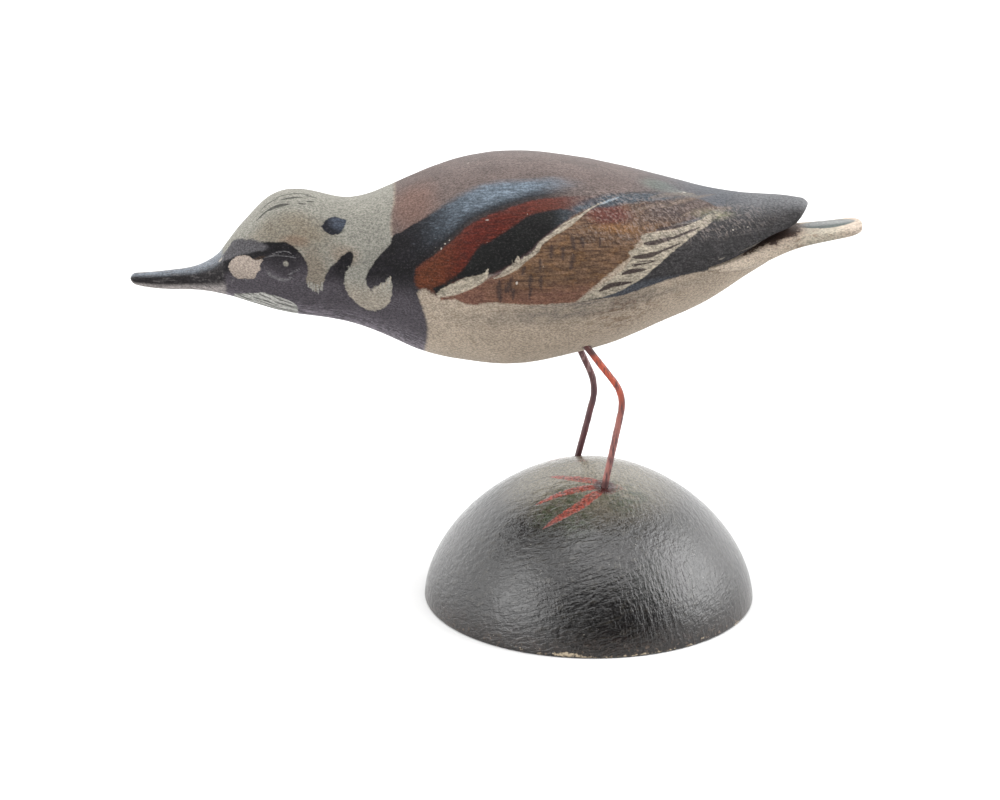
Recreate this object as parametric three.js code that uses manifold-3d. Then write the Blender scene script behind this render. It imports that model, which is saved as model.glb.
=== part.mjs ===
// A small carved shorebird standing on two wire legs in a domed wooden stand.
// Units are millimetres, +Z is up, the bird faces -X and its left side is at -Y.
// The origin is the centre of the stand's underside.
import * as THREE from "three";
import { mergeVertices } from "three/addons/utils/BufferGeometryUtils.js";
import Module from "manifold-3d";

const wasm = await Module();
wasm.setup();

// The bird's block of wood, and how it is held over the stand.
const BIRD_LENGTH = 122;
const BIRD_DEPTH = 35.7;
const BIRD_WIDTH = 32;
const BELLY_RISE = 18.4; // from the top of the stand to the lowest point of the belly
const BALANCE = 63.3; // share of the bird's length, from the bill, that is over the stand's centre
const BILL_TIP_ROUND = 1.1;

// The plank of rump and tail that runs out under the folded wings.
const TAIL_WIDTH = 8.2;
const TAIL_THICKNESS = 2;
const TAIL_END_ROUND = 3.2;
const TAIL_END_SQUARE = 2.6; // 2 is a half circle, more is squarer
const TAIL_ROUND = 3.4; // squareness of the tail's section
const RELIEF_BITE = 0.8; // how far the knife's cuts go into the plank's own wood
const WING_SLANT = 0.56; // how fast the wing tips' end slants forward below the ridge

// The stand.
const STAND_DIAMETER = 57;
const STAND_HEIGHT = 24.1;
const STAND_FOOT_EASE = 0.4; // how far the edge of the underside is eased off
const STAND_SHOULDER = 1.74; // exponent of the dome's curve: 2 is an ellipse, less is more pointed

// The legs and the holes that they are set in.
const WIRE_DIAMETER = 1.2;
const WIRE_CLEARANCE = 0.3;
const FOOT_SPACING = 15.5;
const LEFT_FOOT_BACK = 2.25; // how far the left foot is behind the middle of the stand
const RIGHT_FOOT_AHEAD = 1.8; // how far the right foot is ahead of it
const HIP_SPACING = 16;
const KNEE_BACK = 3.15; // how far a knee is behind its foot
const KNEE_BEND = 3.2; // length of wire that each side of the bend takes up
const BIRD_HOLE_DEPTH = 7;
const STAND_HOLE_DEPTH = 9;

// The two legs: the hip's place along the bird in hundredths, and the knee's share of the way up to it.
const LEGS = [
  { name: "leg_left", side: -1, foot: LEFT_FOOT_BACK, hip: 62.5, knee: 0.66, color: 0x9a4a34 },
  { name: "leg_right", side: 1, foot: -RIGHT_FOOT_AHEAD, hip: 60.3, knee: 0.54, color: 0x6e3a34 },
];

// How finely the curved surfaces are faceted.
const BIRD_SIDES = 36;
const TAIL_SIDES = 20;
const STAND_SIDES = 48;
const STAND_RINGS = 14;
const WIRE_SIDES = 8;
const WIRE_STEPS = 32;
const HOLE_SIDES = 12;
const HOLE_LEAD = 2; // how far outside a surface a hole's cut starts
const END_GAP = 0.02; // a rounded end's last ring, in hundredths of the length before the end itself

// The carver's pattern. Each line is a list of [place along the bird, value]. A place is in hundredths
// of the bird's length from the tip of the bill, a height in hundredths of its depth above the belly,
// and a half-width in hundredths of half its width.
// The back line is the profile of bill, forehead, crown, nape and back, the belly line the one below.
const BACK_LINE = [
  [0, 42.6], [3.4, 43.3], [6.3, 44.4], [9.2, 46.3], [11, 49.2], [12.2, 52.4], [13, 55.8], [14.5, 62.7],
  [16.6, 70.8], [18.6, 77.6], [20.7, 81.5], [23.5, 82.5], [29.7, 78.6], [36.2, 85.1], [45.2, 96.9],
  [53.5, 100], [60.8, 97.5], [73.1, 88.6], [84.6, 80.9], [89, 80.1], [91.8, 78.6],
];
const BELLY_LINE = [
  [0, 37.4], [1.5, 36.2], [4, 35], [9, 34.6], [12.2, 33.2], [20.7, 24.8], [28.5, 20.8], [33, 16.3],
  [40.3, 5.7], [46, 1.7], [52.5, 0], [60.8, 5.3], [66.6, 11.3], [73.1, 20.9], [79.7, 31.7],
  [84.6, 43.1], [88.5, 52], [91.8, 63.4],
];
const PLAN_LINE = [
  [0, 7], [3.4, 8.1], [9.2, 13.1], [13, 23.8], [18.6, 43.1], [23.5, 49.7], [29.7, 52.2], [36.2, 64.4],
  [45.2, 88.8], [55.9, 100], [66.6, 93.1], [79.7, 63.1], [87.9, 37.5], [91.8, 28.7],
];

// How square the sections are above and below their widest place: 2 is an ellipse, more is squarer.
const ROUND_ABOVE = [[0, 2], [22, 2.2], [50, 2.2], [75, 1.9], [91.8, 1.7]];
const ROUND_BELOW = [[0, 2], [22, 2.2], [50, 2.1], [75, 2], [91.8, 2]];

// The folded wings: where the two tips meet, and the height of their lower edge over rump and tail.
const WING_END = [92.55, 76.2];
const WING_EDGE_LINE = [[77.5, 52.5], [83, 57.7], [86.5, 64.1], [90.6, 68.9], [95, 73]];

// The plank of rump and tail: the height of its top, its half-width in hundredths of half the tail's
// width, and its thickness in hundredths of the tail's thickness.
const TAIL_TOP_LINE = [
  [76.5, 53.5], [80, 55.2], [83, 57.2], [86.5, 61.3], [90.6, 64.6], [93.9, 65.6], [97, 66.8], [100, 68.2],
];
const TAIL_PLAN_LINE = [
  [76.5, 258], [78.9, 243], [81.3, 213], [83.8, 176], [86.2, 144], [88.7, 121], [91.1, 108.5],
  [93.6, 102.4], [96.9, 97.6], [100, 96],
];
const TAIL_THICKNESS_LINE = [
  [76.5, 120], [81.6, 145], [85.9, 203], [88.8, 182], [93.9, 122], [96.9, 104], [100, 88],
];

// What the knife takes away between wing and tail: its depth in hundredths of the height from the
// wing's edge to the plank's underside, and the web of wood that it leaves under the wings, in
// hundredths of the plank's half-width.
const RELIEF_LINE = [[78.5, 2], [80, 25], [81.6, 60], [86, 88], [90.6, 92], [95, 92]];
const WEB_LINE = [[78.5, 80], [83, 75], [86.5, 45], [90.6, 22], [95, 22]];

// Where the loft's rings lie along the bird: [from, to, rings], in hundredths of its length.
const BIRD_SPANS = [[0, 1, 4], [1, 9, 5], [9, 21, 13], [21, 36, 9], [36, 80, 20], [80, 91.8, 8]];
const TAIL_SPANS = [[76.5, 96.5, 14], [96.5, 100, 8]];
const RELIEF_SPANS = [[78.5, 95, 14]];
const WING_SLANT_SPAN = [88, 91.8]; // over which the wing tips' slant sets in

const bellyLevel = STAND_HEIGHT + BELLY_RISE;
const tailEnd = TAIL_SPANS.at(-1)[1];

// A smooth curve through the pattern's points: a natural cubic spline.
function smoothLine(points) {
  const [xs, ys] = [points.map((p) => p[0]), points.map((p) => p[1])];
  const n = xs.length;
  const slope = (i) => (ys[i + 1] - ys[i]) / (xs[i + 1] - xs[i]);
  const [upper, right] = [[0], [0]];
  for (let i = 1; i < n - 1; i++) {
    const [before, after] = [xs[i] - xs[i - 1], xs[i + 1] - xs[i]];
    const pivot = 2 * (before + after) - before * upper[i - 1];
    upper[i] = after / pivot;
    right[i] = (6 * (slope(i) - slope(i - 1)) - before * right[i - 1]) / pivot;
  }
  const bend = new Array(n).fill(0);
  for (let i = n - 2; i > 0; i--) bend[i] = right[i] - upper[i] * bend[i + 1];
  return (x) => {
    let i = 0;
    while (i < n - 2 && x > xs[i + 1]) i++;
    const [wide, t, s] = [xs[i + 1] - xs[i], x - xs[i], xs[i + 1] - x];
    const chord = (ys[i] * s + ys[i + 1] * t) / wide;
    const bow = ((s ** 3 / wide - wide * s) * bend[i] + (t ** 3 / wide - wide * t) * bend[i + 1]) / 6;
    return chord + bow;
  };
}

const back = smoothLine(BACK_LINE);
const belly = smoothLine(BELLY_LINE);
const plan = smoothLine(PLAN_LINE);
const roundAbove = smoothLine(ROUND_ABOVE);
const roundBelow = smoothLine(ROUND_BELOW);
const wingEdge = smoothLine(WING_EDGE_LINE);
const tailTop = smoothLine(TAIL_TOP_LINE);
const tailPlan = smoothLine(TAIL_PLAN_LINE);
const tailThickness = smoothLine(TAIL_THICKNESS_LINE);
const relief = smoothLine(RELIEF_LINE);
const web = smoothLine(WEB_LINE);

// Places on the pattern as places in the part.
const xAt = (along) => ((along - BALANCE) / 100) * BIRD_LENGTH;
const alongAt = (x) => BALANCE + (x / BIRD_LENGTH) * 100;
const zAt = (height) => bellyLevel + (height / 100) * BIRD_DEPTH;

// How much of its size a form keeps at a distance from its rounded end.
function roundedEnd(distance, radius, square) {
  return (1 - (1 - Math.min(distance / radius, 1)) ** square) ** (1 / square);
}

// One point of an oval whose upper and lower halves are each as square as asked.
function ovalPoint(turn, halfWidth, half, upperRound, lowerRound) {
  const [c, s] = [Math.cos(turn), Math.sin(turn)];
  const power = 2 / (s >= 0 ? upperRound : lowerRound);
  return [halfWidth * Math.sign(c) * Math.abs(c) ** power, half * Math.sign(s) * Math.abs(s) ** power];
}

function ovalRing(sides, halfWidth, half, upperRound, lowerRound) {
  return Array.from({ length: sides }, (_, i) => {
    return ovalPoint((i / sides) * 2 * Math.PI, halfWidth, half, upperRound, lowerRound);
  });
}

// The places of a loft's rings, evenly spread over each span.
function ringPlaces(spans) {
  const places = [];
  for (const [from, to, count] of spans) {
    for (let i = 0; i < count; i++) places.push(from + ((to - from) * i) / count);
  }
  places.push(spans.at(-1)[1]);
  return places;
}

// A closed solid skinned over rings of points, with a point closing each end.
function loft(rings, startPoint, endPoint) {
  const sides = rings[0].length;
  const points = [...rings.flat(), startPoint, endPoint];
  const first = rings.length * sides;
  const faces = [];
  for (let r = 0; r + 1 < rings.length; r++) {
    for (let i = 0; i < sides; i++) {
      const j = (i + 1) % sides;
      const [a, b] = [r * sides + i, r * sides + j];
      faces.push(a, b, b + sides, a, b + sides, a + sides);
    }
  }
  for (let i = 0; i < sides; i++) {
    const j = (i + 1) % sides;
    faces.push(first, j, i, first + 1, first - sides + i, first - sides + j);
  }
  const geometry = new THREE.BufferGeometry();
  geometry.setAttribute("position", new THREE.Float32BufferAttribute(points.flat(), 3));
  geometry.setIndex(faces);
  return geometry;
}

function toSolid(geometry) {
  const bare = geometry.clone().deleteAttribute("normal").deleteAttribute("uv");
  const merged = mergeVertices(bare, 1e-4);
  const corners = merged.index.array;
  const kept = [];
  for (let i = 0; i < corners.length; i += 3) {
    const [a, b, c] = corners.slice(i, i + 3);
    if (a !== b && b !== c && c !== a) kept.push(a, b, c);
  }
  const mesh = new wasm.Mesh({
    numProp: 3,
    vertProperties: new Float32Array(merged.attributes.position.array),
    triVerts: new Uint32Array(kept),
  });
  return new wasm.Manifold(mesh);
}

function toGeometry(solid) {
  const mesh = solid.getMesh();
  const geometry = new THREE.BufferGeometry();
  geometry.setAttribute("position", new THREE.BufferAttribute(mesh.vertProperties, 3));
  geometry.setIndex(new THREE.BufferAttribute(mesh.triVerts, 1));
  return geometry;
}

// The egg of the body with head, bill and folded wings, without the tail.
function bodySection(along) {
  const size = roundedEnd(((along + END_GAP) / 100) * BIRD_LENGTH, BILL_TIP_ROUND, 2);
  return {
    halfWidth: (plan(along) / 200) * BIRD_WIDTH * size,
    middle: zAt((back(along) + belly(along)) / 2),
    half: ((back(along) - belly(along)) / 200) * BIRD_DEPTH * size,
  };
}

function bodyRing(along) {
  const { halfWidth, middle, half } = bodySection(along);
  const [from, to] = WING_SLANT_SPAN;
  const slant = WING_SLANT * Math.max((along - from) / (to - from), 0) ** 2;
  return ovalRing(BIRD_SIDES, halfWidth, half, roundAbove(along), roundBelow(along)).map(([y, z]) => [
    xAt(along) - slant * (half - z),
    y,
    middle + z,
  ]);
}

function makeBody() {
  const rings = ringPlaces(BIRD_SPANS).map(bodyRing);
  return loft(rings, [xAt(0), 0, bodySection(0).middle], [xAt(WING_END[0]), 0, zAt(WING_END[1])]);
}

// The plank of rump and tail: thick where it leaves the body, thin and rounded at its end.
function tailSection(along) {
  const size = roundedEnd(((tailEnd + END_GAP - along) / 100) * BIRD_LENGTH, TAIL_END_ROUND, TAIL_END_SQUARE);
  const half = (tailThickness(along) / 200) * TAIL_THICKNESS;
  const top = zAt(tailTop(along));
  return {
    halfWidth: (tailPlan(along) / 200) * TAIL_WIDTH * size,
    top,
    middle: top - half,
    half: half * Math.sqrt(size),
  };
}

function makeTail() {
  const rings = ringPlaces(TAIL_SPANS).map((along) => {
    const { halfWidth, middle, half } = tailSection(along);
    const ring = ovalRing(TAIL_SIDES, halfWidth, half, TAIL_ROUND, TAIL_ROUND);
    return ring.map(([y, z]) => [xAt(along), y, middle + z]);
  });
  const endPoint = (along) => [xAt(along), 0, tailSection(along).middle];
  return loft(rings, endPoint(TAIL_SPANS[0][0]), endPoint(tailEnd));
}

// The wood that the knife takes away on one side, under the wing's edge and over the rump and tail.
function makeRelief(side) {
  const sections = ringPlaces(RELIEF_SPANS).map((along) => {
    const tail = tailSection(along);
    const upper = zAt(wingEdge(along));
    const lower = upper - (relief(along) / 100) * (upper - tail.top + 2 * tail.half);
    const core = (web(along) / 100) * tail.halfWidth;
    const inner = tail.halfWidth - RELIEF_BITE;
    const outer = BIRD_WIDTH;
    const step = Math.min(tail.middle, upper - RELIEF_BITE / 2);
    const bottom = Math.min(lower, step);
    const corners = [
      [outer, bottom], [outer, upper], [core, upper], [core, step], [inner, step], [inner, bottom],
    ];
    const place = ([y, z]) => [xAt(along), side * y, z];
    const ring = corners.map(place);
    const centre = place([(inner + outer) / 2, (upper + step) / 2]);
    return { ring: side > 0 ? ring : ring.reverse(), centre };
  });
  return loft(sections.map((s) => s.ring), sections[0].centre, sections.at(-1).centre);
}

// Heights of the belly and of the stand's surface over a place in plan.
function bellyHeight(x, y) {
  const { halfWidth, middle, half } = bodySection(alongAt(x));
  const n = roundBelow(alongAt(x));
  return middle - half * (1 - Math.abs(y / halfWidth) ** n) ** (1 / n);
}

function standHeight(x, y) {
  const share = Math.hypot(x, y) / (STAND_DIAMETER / 2);
  return STAND_HEIGHT * (1 - share ** STAND_SHOULDER) ** (1 / STAND_SHOULDER);
}

// Where a leg leaves the stand and enters the bird, where its knee bends, and the way to each end.
function legLine({ side, foot, hip, knee }) {
  const footPoint = new THREE.Vector3(foot, (side * FOOT_SPACING) / 2, 0);
  footPoint.z = standHeight(footPoint.x, footPoint.y);
  const hipPoint = new THREE.Vector3(xAt(hip), (side * HIP_SPACING) / 2, 0);
  hipPoint.z = bellyHeight(hipPoint.x, hipPoint.y);
  const kneePoint = footPoint.clone().lerp(hipPoint, knee);
  kneePoint.x = foot + KNEE_BACK;
  const up = hipPoint.clone().sub(kneePoint).normalize();
  const down = footPoint.clone().sub(kneePoint).normalize();
  return { footPoint, hipPoint, kneePoint, up, down };
}

function makeWire(leg) {
  const { footPoint, hipPoint, kneePoint, up, down } = legLine(leg);
  const top = hipPoint.clone().addScaledVector(up, BIRD_HOLE_DEPTH - WIRE_CLEARANCE);
  const bottom = footPoint.clone().addScaledVector(down, STAND_HOLE_DEPTH - WIRE_CLEARANCE);
  const above = kneePoint.clone().addScaledVector(up, KNEE_BEND);
  const below = kneePoint.clone().addScaledVector(down, KNEE_BEND);
  const path = new THREE.CurvePath();
  path.add(new THREE.LineCurve3(bottom, below));
  path.add(new THREE.QuadraticBezierCurve3(below, kneePoint, above));
  path.add(new THREE.LineCurve3(above, top));
  const round = new THREE.Shape().absarc(0, 0, WIRE_DIAMETER / 2, 0, 2 * Math.PI);
  const options = { steps: WIRE_STEPS, curveSegments: WIRE_SIDES / 2, extrudePath: path };
  return new THREE.ExtrudeGeometry(round, options);
}

// A drilled hole from just outside a surface to its depth inside.
function makeHole(mouth, inward, depth) {
  const radius = WIRE_DIAMETER / 2 + WIRE_CLEARANCE;
  const hole = new THREE.CylinderGeometry(radius, radius, depth + HOLE_LEAD, HOLE_SIDES);
  hole.applyQuaternion(new THREE.Quaternion().setFromUnitVectors(new THREE.Vector3(0, 1, 0), inward));
  const centre = mouth.clone().addScaledVector(inward, (depth - HOLE_LEAD) / 2);
  return hole.translate(centre.x, centre.y, centre.z);
}

function makeBird() {
  let solid = toSolid(makeBody());
  for (const side of [-1, 1]) solid = solid.subtract(toSolid(makeRelief(side)));
  solid = solid.add(toSolid(makeTail()));
  for (const leg of LEGS) {
    const { hipPoint, up } = legLine(leg);
    solid = solid.subtract(toSolid(makeHole(hipPoint, up, BIRD_HOLE_DEPTH)));
  }
  return toGeometry(solid);
}

// The domed stand: a turned profile with an eased edge at its foot.
function makeStand() {
  const radius = STAND_DIAMETER / 2;
  const profile = [[0, 0], [radius - STAND_FOOT_EASE, 0], [radius, STAND_FOOT_EASE]];
  for (let i = 1; i < STAND_RINGS; i++) {
    const turn = ((i / STAND_RINGS) * Math.PI) / 2;
    profile.push(ovalPoint(turn, radius, STAND_HEIGHT, STAND_SHOULDER, STAND_SHOULDER));
  }
  profile.push([0, STAND_HEIGHT]);
  const turned = new THREE.LatheGeometry(profile.map(([r, z]) => new THREE.Vector2(r, z)), STAND_SIDES);
  let solid = toSolid(turned.rotateX(Math.PI / 2));
  for (const leg of LEGS) {
    const { footPoint, down } = legLine(leg);
    solid = solid.subtract(toSolid(makeHole(footPoint, down, STAND_HOLE_DEPTH)));
  }
  return toGeometry(solid);
}

function piece(name, geometry, color, roughness) {
  const material = new THREE.MeshStandardMaterial({ color, roughness, metalness: 0 });
  const mesh = new THREE.Mesh(geometry, material);
  mesh.name = name;
  return mesh;
}

const decoy = new THREE.Group();
decoy.name = "shorebird";
decoy.add(piece("bird", makeBird(), 0x8c8474, 0.6));
for (const leg of LEGS) decoy.add(piece(leg.name, makeWire(leg), leg.color, 0.5));
decoy.add(piece("base", makeStand(), 0x3a3a34, 0.45));

export default decoy;
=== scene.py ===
"""Builds and paints a small carved shorebird on wire legs in a domed stand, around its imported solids.

Lengths in the making are millimetres and become metres when a mesh is made. The bird faces -X,
its left side is at -Y and +Z is up. A place on the bird's paint pattern is [along, around]: along is
in hundredths of the bird's length from the bill tip, around runs from 0 at the ridge of the back
through 50 at the widest place to 100 at the keel.
"""
import math

import bpy
import numpy as np
from bpy.props import FloatProperty, FloatVectorProperty, PointerProperty
from mathutils import Matrix, Vector


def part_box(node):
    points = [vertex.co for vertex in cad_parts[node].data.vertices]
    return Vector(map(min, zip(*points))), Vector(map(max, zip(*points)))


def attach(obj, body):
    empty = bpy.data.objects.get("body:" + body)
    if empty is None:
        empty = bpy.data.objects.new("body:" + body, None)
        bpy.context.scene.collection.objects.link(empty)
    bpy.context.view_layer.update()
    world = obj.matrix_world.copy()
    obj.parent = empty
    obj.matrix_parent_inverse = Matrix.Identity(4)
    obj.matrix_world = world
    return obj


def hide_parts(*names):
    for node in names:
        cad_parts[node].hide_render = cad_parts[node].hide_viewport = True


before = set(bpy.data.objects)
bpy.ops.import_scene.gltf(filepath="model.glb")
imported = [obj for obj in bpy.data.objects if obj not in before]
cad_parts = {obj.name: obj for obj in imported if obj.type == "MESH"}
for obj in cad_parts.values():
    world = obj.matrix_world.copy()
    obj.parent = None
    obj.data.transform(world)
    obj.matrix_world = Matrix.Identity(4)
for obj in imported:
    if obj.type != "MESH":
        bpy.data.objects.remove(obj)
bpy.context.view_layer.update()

bl_info = {
    "name": "Carved shorebird",
    "version": (1, 0, 0),
    "blender": (4, 5, 0),
    "location": "View3D > Sidebar > Shorebird",
    "description": "Builds a painted wooden shorebird on wire legs in a domed stand",
    "category": "Add Mesh",
}

MM = 0.001
BIRD_LOW, BIRD_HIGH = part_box("bird")
STAND_LOW, STAND_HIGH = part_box("base")

# Colours are given as they look in the bright room; this share of them is the paint's own.
OWN_SHARE = 0.6

# The carver's pattern, in hundredths of the length, of the depth above the belly and of half the width.
BACK_LINE = [
    [0, 42.6], [3.4, 43.3], [6.3, 44.4], [9.2, 46.3], [11, 49.2], [12.2, 52.4], [13, 55.8], [14.5, 62.7],
    [16.6, 70.8], [18.6, 77.6], [20.7, 81.5], [23.5, 82.5], [29.7, 78.6], [36.2, 85.1], [45.2, 96.9],
    [53.5, 100], [60.8, 97.5], [73.1, 88.6], [84.6, 80.9], [89, 80.1], [91.8, 78.6],
]
BELLY_LINE = [
    [0, 37.4], [1.5, 36.2], [4, 35], [9, 34.6], [12.2, 33.2], [20.7, 24.8], [28.5, 20.8], [33, 16.3],
    [40.3, 5.7], [46, 1.7], [52.5, 0], [60.8, 5.3], [66.6, 11.3], [73.1, 20.9], [79.7, 31.7],
    [84.6, 43.1], [88.5, 52], [91.8, 63.4],
]
PLAN_LINE = [
    [0, 7], [3.4, 8.1], [9.2, 13.1], [13, 23.8], [18.6, 43.1], [23.5, 49.7], [29.7, 52.2], [36.2, 64.4],
    [45.2, 88.8], [55.9, 100], [66.6, 93.1], [79.7, 63.1], [87.9, 37.5], [91.8, 28.7],
]
ROUND_ABOVE = [[0, 2], [22, 2.2], [50, 2.2], [75, 1.9], [91.8, 1.7]]
ROUND_BELOW = [[0, 2], [22, 2.2], [50, 2.1], [75, 2], [91.8, 2]]
WING_END = (92.55, 76.2)
WING_EDGE_LINE = [[77.5, 52.5], [83, 57.7], [86.5, 64.1], [90.6, 68.9], [95, 73]]
TAIL_TOP_LINE = [
    [76.5, 53.5], [80, 55.2], [83, 57.2], [86.5, 61.3], [90.6, 64.6], [93.9, 65.6], [97, 66.8], [100, 68.2],
]
TAIL_PLAN_LINE = [
    [76.5, 258], [78.9, 243], [81.3, 213], [83.8, 176], [86.2, 144], [88.7, 121], [91.1, 108.5],
    [93.6, 102.4], [96.9, 97.6], [100, 96],
]
TAIL_THICKNESS_LINE = [
    [76.5, 120], [81.6, 145], [85.9, 203], [88.8, 182], [93.9, 122], [96.9, 104], [100, 88],
]
RELIEF_LINE = [[78.5, 2], [80, 25], [81.6, 60], [86, 88], [90.6, 92], [95, 92]]
WEB_LINE = [[78.5, 80], [83, 75], [86.5, 45], [90.6, 22], [95, 22]]

# Where the rings of each form lie along the bird: from, to, number of rings.
BIRD_SPANS = [(0, 1, 8), (1, 9, 24), (9, 21, 56), (21, 36, 56), (36, 80, 165), (80, 91.8, 34)]
TAIL_SPANS = [(76.5, 96.5, 60), (96.5, 100, 36)]
RELIEF_SPANS = [(78.5, 95, 80)]
BODY_END = BIRD_SPANS[-1][1]
TAIL_START, TAIL_END = TAIL_SPANS[0][0], TAIL_SPANS[-1][1]
BIRD_HALF_SIDES = 118
PAINTED_SIDE = (4, 62)
PAINTED_SIDE_SHARE = 0.74
CAP_RINGS = 6
CAP_BULGE = 1.55
CAP_MARGIN = 0.1
TAIL_SIDES = 88
WING_SLANT_FROM = 88
WING_SLANT_OVER = 3.8
WING_SLANT = 0.56
END_GAP = 0.02
BILL_TIP_ROUND = 1.1
TAIL_WIDTH = 8.2
TAIL_THICKNESS = 2
TAIL_END_ROUND = 3.2
TAIL_END_SQUARE = 2.6
TAIL_ROUND = 3.4
RELIEF_BITE = 0.8
BIRD_SHARP = 38
# Half-depth in mm below which the knife left the bird smoother.
EVEN_BELOW = 9
# Lumps of the bird's surface: wavelength in mm, seed and share.
BIRD_LUMPS = [(11, 3, 0.7), (3.4, 5, 0.3)]

# The legs, as in the solids.
WIRE_RADIUS = 0.6
FOOT_SPACING = 15.5
HIP_SPACING = 16
KNEE_BACK = 3.15
KNEE_BEND = 3.2
WIRE_IN_BIRD = 6.7
WIRE_IN_STAND = 8.7
HOLE_IN_BIRD = 7
HOLE_IN_STAND = 9
BIRD_HOLE_RADIUS = 0.84
STAND_HOLE_RADIUS = 0.72
DRILL_SIDES = 40
DRILL_START = 2
WIRE_SIDES = 24
LOWER_RINGS, KNEE_RINGS, UPPER_RINGS = 60, 30, 50
# Lumps of the paint on the wire: wavelength in mm and seed.
WIRE_LUMPS = (1.8, 7)
WIRE_UNEVENNESS = 0.06
LEGS = {
    "left": {"side": -1, "foot": 2.25, "hip": 62.5, "knee": 0.66},
    "right": {"side": 1, "foot": -1.8, "hip": 60.3, "knee": 0.54},
}

# The stand: its form as in the solid, its rings and the marks of the brush on it.
STAND_SHOULDER = 1.74
STAND_FOOT_EASE = 0.4
STAND_SIDES = 480
STAND_RINGS = 150
UNDERSIDE_RINGS = 14
FIRST_RING, LAST_RING = 0.25, 0.5
PROFILE_STEPS, EASE_STEPS = 4001, 60
# Keeps the rings of the underside apart where their run is the same.
RUN_GAP = 1e-6
STAND_SHARP = 40
# Height in mm where the brush marks begin, and over how much they reach their full depth.
MARKS_FROM, MARKS_OVER = 0.3, 1.5
# Brush marks: stretch, wavelength in mm, seed, number of waves and share.
BRUSH_MARKS = [((1, 1, 0.6), 1.3, 4, 30, 0.6), ((0.5, 0.5, 1.3), 1.7, 9, 24, 0.4)]

# How far in mm a patch of paint is measured, and how a stroke of the brush thins toward its ends.
REACH = 4.0
STROKE_LEAN = 0.85
STROKE_FULLNESS = 0.6
STROKE_TIP = 0.12
LEAST_STROKE = 0.24
STROKE_END = (1.75, 1.45)
LEAST_UNIT = 0.02

# The camera and the room, in metres, degrees and, for the lens, mm.
CAMERA_PLACE = (-0.01539, -0.41707, 0.1725)
CAMERA_PITCH = math.radians(18.21)
CAMERA_LENS = 92.99
FLOOR_REACH = 6.0
SENSOR_WIDTH = 36
NEAREST_SEEN = 0.01
ROOM_LEVEL = 2.6
# The room's light: turn from the front toward +X and height in degrees, whole within and gone beyond that
# many degrees, and brightness there as a share of the room's.
ROOM_LIGHT = [
    (180, 44, 18, 48, 3.3), (180, 4, 6, 34, 1.3), (-112, 20, 24, 46, 3.5), (128, 30, 20, 44, 3.3),
    (12, 10, 31, 49, 0.1), (-58, 30, 12, 24, 8.5), (92, 30, 15, 29, 10.5), (10, 75, 13, 24, 6.6),
]

# Edges that two painted patches share.
NECK_EDGE = [(36.3, -4, 1), (36.5, 15), (36.1, 31)]
RUST_TOP = [
    (39.5, 46.7, 1), (41.8, 43), (44.9, 37.5), (47.1, 33.1), (50, 30.2), (54.9, 25.8), (58.6, 23.6),
]
LENS_TOP = [
    (44, 49.7), (45.8, 47), (47.4, 42), (48.4, 39.5), (49.1, 39.3), (52.1, 34.8), (54.9, 30.3),
]

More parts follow.
